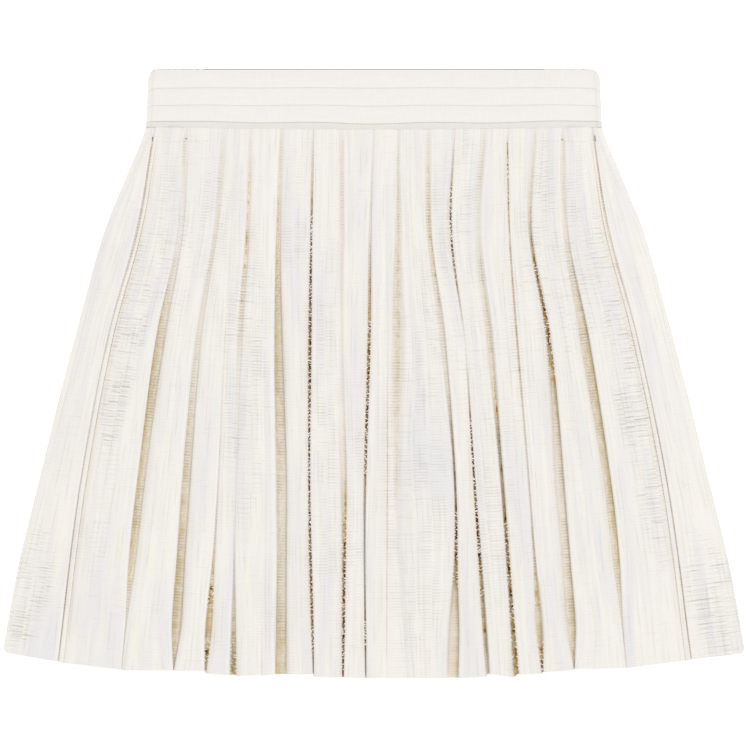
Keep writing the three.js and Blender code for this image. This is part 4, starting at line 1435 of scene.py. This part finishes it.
@dataclass(frozen=True)
class TableAcrylic(Finish):
    """Cast white acrylic sheet, lit a little from within like a light table: even, white and nearly matt."""

    name: str = "white_acrylic_table"
    white: str = "fdfdfd"
    off_white: str = "fafafa"
    glow: str = "ffffff"
    glow_strength: float = 0.45
    roughness: float = 0.6

    def surface(self, add: Callable) -> Socket:
        """Adds a faint cloudiness and the glow."""
        cloudy = add("ShaderNodeTexNoise", {"Scale": 3.0})
        colour = add(MIX, {0: cloudy, 6: linear(self.white), 7: linear(self.off_white)}, **COLOURS)
        return add("ShaderNodeBsdfPrincipled", {
            "Base Color": colour, "Roughness": self.roughness, "Emission Color": linear(self.glow),
            "Emission Strength": self.glow_strength})


@dataclass
class Studio:
    """White table, even sky and one large soft lamp beyond the waist, with the camera straight above."""

    table_half: float = 2.5
    table_drop: float = 0.0002
    field_mm: float = 555.0
    centre_mm: tuple[float, float] = (0.74, -1.48)
    height: float = 2.5
    cloth_height: float = 0.004
    sensor_mm: float = 36.0
    sky: float = 0.745
    lamp_strength: float = 1.07
    lamp_width: float = 0.5
    lamp_tilt: float = 0.6
    lamp_turn: float = -0.45

    def build(self) -> None:
        """Adds the floor, the light and the camera."""
        scene = bpy.context.scene
        scene.view_settings.view_transform = "Standard"
        self.floor()
        self.world(scene)
        self.lamp(scene)
        self.camera(scene)

    def floor(self) -> None:
        """Adds a plain white table top just under the skirt."""
        corners = np.array([(-1, -1, 0), (1, -1, 0), (1, 1, 0), (-1, 1, 0)]) * self.table_half
        floor = make_mesh("floor", corners - (0, 0, self.table_drop), np.array([[0, 1, 2, 3]]))
        floor.data.materials.append(TableAcrylic().build())

    def world(self, scene: bpy.types.Scene) -> None:
        """Adds an even white sky."""
        world = bpy.data.worlds.new("studio")
        world.use_nodes = True
        world.node_tree.nodes["Background"].inputs[0].default_value = (1, 1, 1, 1)
        world.node_tree.nodes["Background"].inputs[1].default_value = self.sky
        scene.world = world

    def lamp(self, scene: bpy.types.Scene) -> None:
        """Adds one wide soft lamp far above, beyond the waist and a little to the right."""
        light = bpy.data.lights.new("soft_lamp", "SUN")
        light.angle, light.energy = self.lamp_width, self.lamp_strength
        lamp = bpy.data.objects.new("soft_lamp", light)
        lamp.matrix_world = Matrix.Rotation(self.lamp_turn, 4, "Z") @ Matrix.Rotation(-self.lamp_tilt, 4, "X")
        scene.collection.objects.link(lamp)

    def camera(self, scene: bpy.types.Scene) -> None:
        """Adds a camera straight above, square to the skirt, whose field is field_mm wide at the cloth."""
        data = bpy.data.cameras.new("camera")
        data.sensor_width = self.sensor_mm
        data.lens = self.sensor_mm * (self.height - self.cloth_height) / (self.field_mm * MM)
        camera = bpy.data.objects.new("camera", data)
        camera.location = (self.centre_mm[0] * MM, self.centre_mm[1] * MM, self.height)
        scene.collection.objects.link(camera)
        scene.camera = camera


def dress(piece: bpy.types.Object, material: bpy.types.Material, slot: str, *nodes: str) -> bpy.types.Object:
    """Gives a piece its material, its body and the nodes it stands for, and returns it."""
    piece.data.materials.clear()
    piece.data.materials.append(material)
    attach(piece, ROOT)
    if nodes:
        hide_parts(*nodes)
    LOG.info("%s: %d faces", piece.name, len(piece.data.polygons))
    return piece


def main() -> None:
    """Builds the studio and every piece of the skirt, and logs the cloth area and hem run of each pleated
    panel and the faces of each piece.
    """
    logging.basicConfig(level=logging.INFO, format="%(name)s: %(message)s")
    Studio().build()
    cotton, band, thread = SlubCotton().build(), BandCotton().build(), SewingThread().build()
    # A darker copy of the thread, with shade painted into its colour, for the tack knots.
    shaded = SewingThread(name="shaded_thread", cream="978b76", tan="5f5544").build()

    front = SkirtFront()
    front_cloth = dress(front.build(), cotton, "skirt_cloth", "skirt_front")
    slubs = dress(EdgeNubs().build(front), cotton, "skirt_cloth")
    tack_rows = dress(Stitching("tack_row_stitches", TACK_ROWS).build(front), thread, "skirt_cloth")
    tacks = dress(Stitching("tack_knots", TACKS).build(front), shaded, "skirt_cloth")

    backs = [SkirtBackHalf(name=f"skirt_back_{word}_cloth", side=side)
             for word, side in (("left", -1), ("right", 1))]
    back_cloths = [dress(back.build(), cotton, "skirt_cloth", back.name.removesuffix("_cloth"))
                   for back in backs]

    band_front = Waistband("waistband_front_cloth", BAND_LAPS, (-BAND_HALF_WIDTH, BAND_HALF_WIDTH),
                           levels=(2.5, 5.2))
    front_band = dress(band_front.build(), band, "band_cloth", "waistband_front")
    for word, ends in (("left", (-BAND_HALF_WIDTH, -BACK_GAP)), ("right", (BACK_GAP, BAND_HALF_WIDTH))):
        half = Waistband(f"waistband_back_{word}_cloth", (), ends, (1.1, 1.1), columns=60, top_y=BACK_TOP_Y)
        dress(half.build(), band, "band_cloth", f"waistband_back_{word}")

    zip_tape = ZipTape().build()
    for word in ("left", "right"):
        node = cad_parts[f"zip_{word}"]
        node.data.materials.clear()
        node.data.materials.append(zip_tape)


if __name__ == "__main__":
    main()
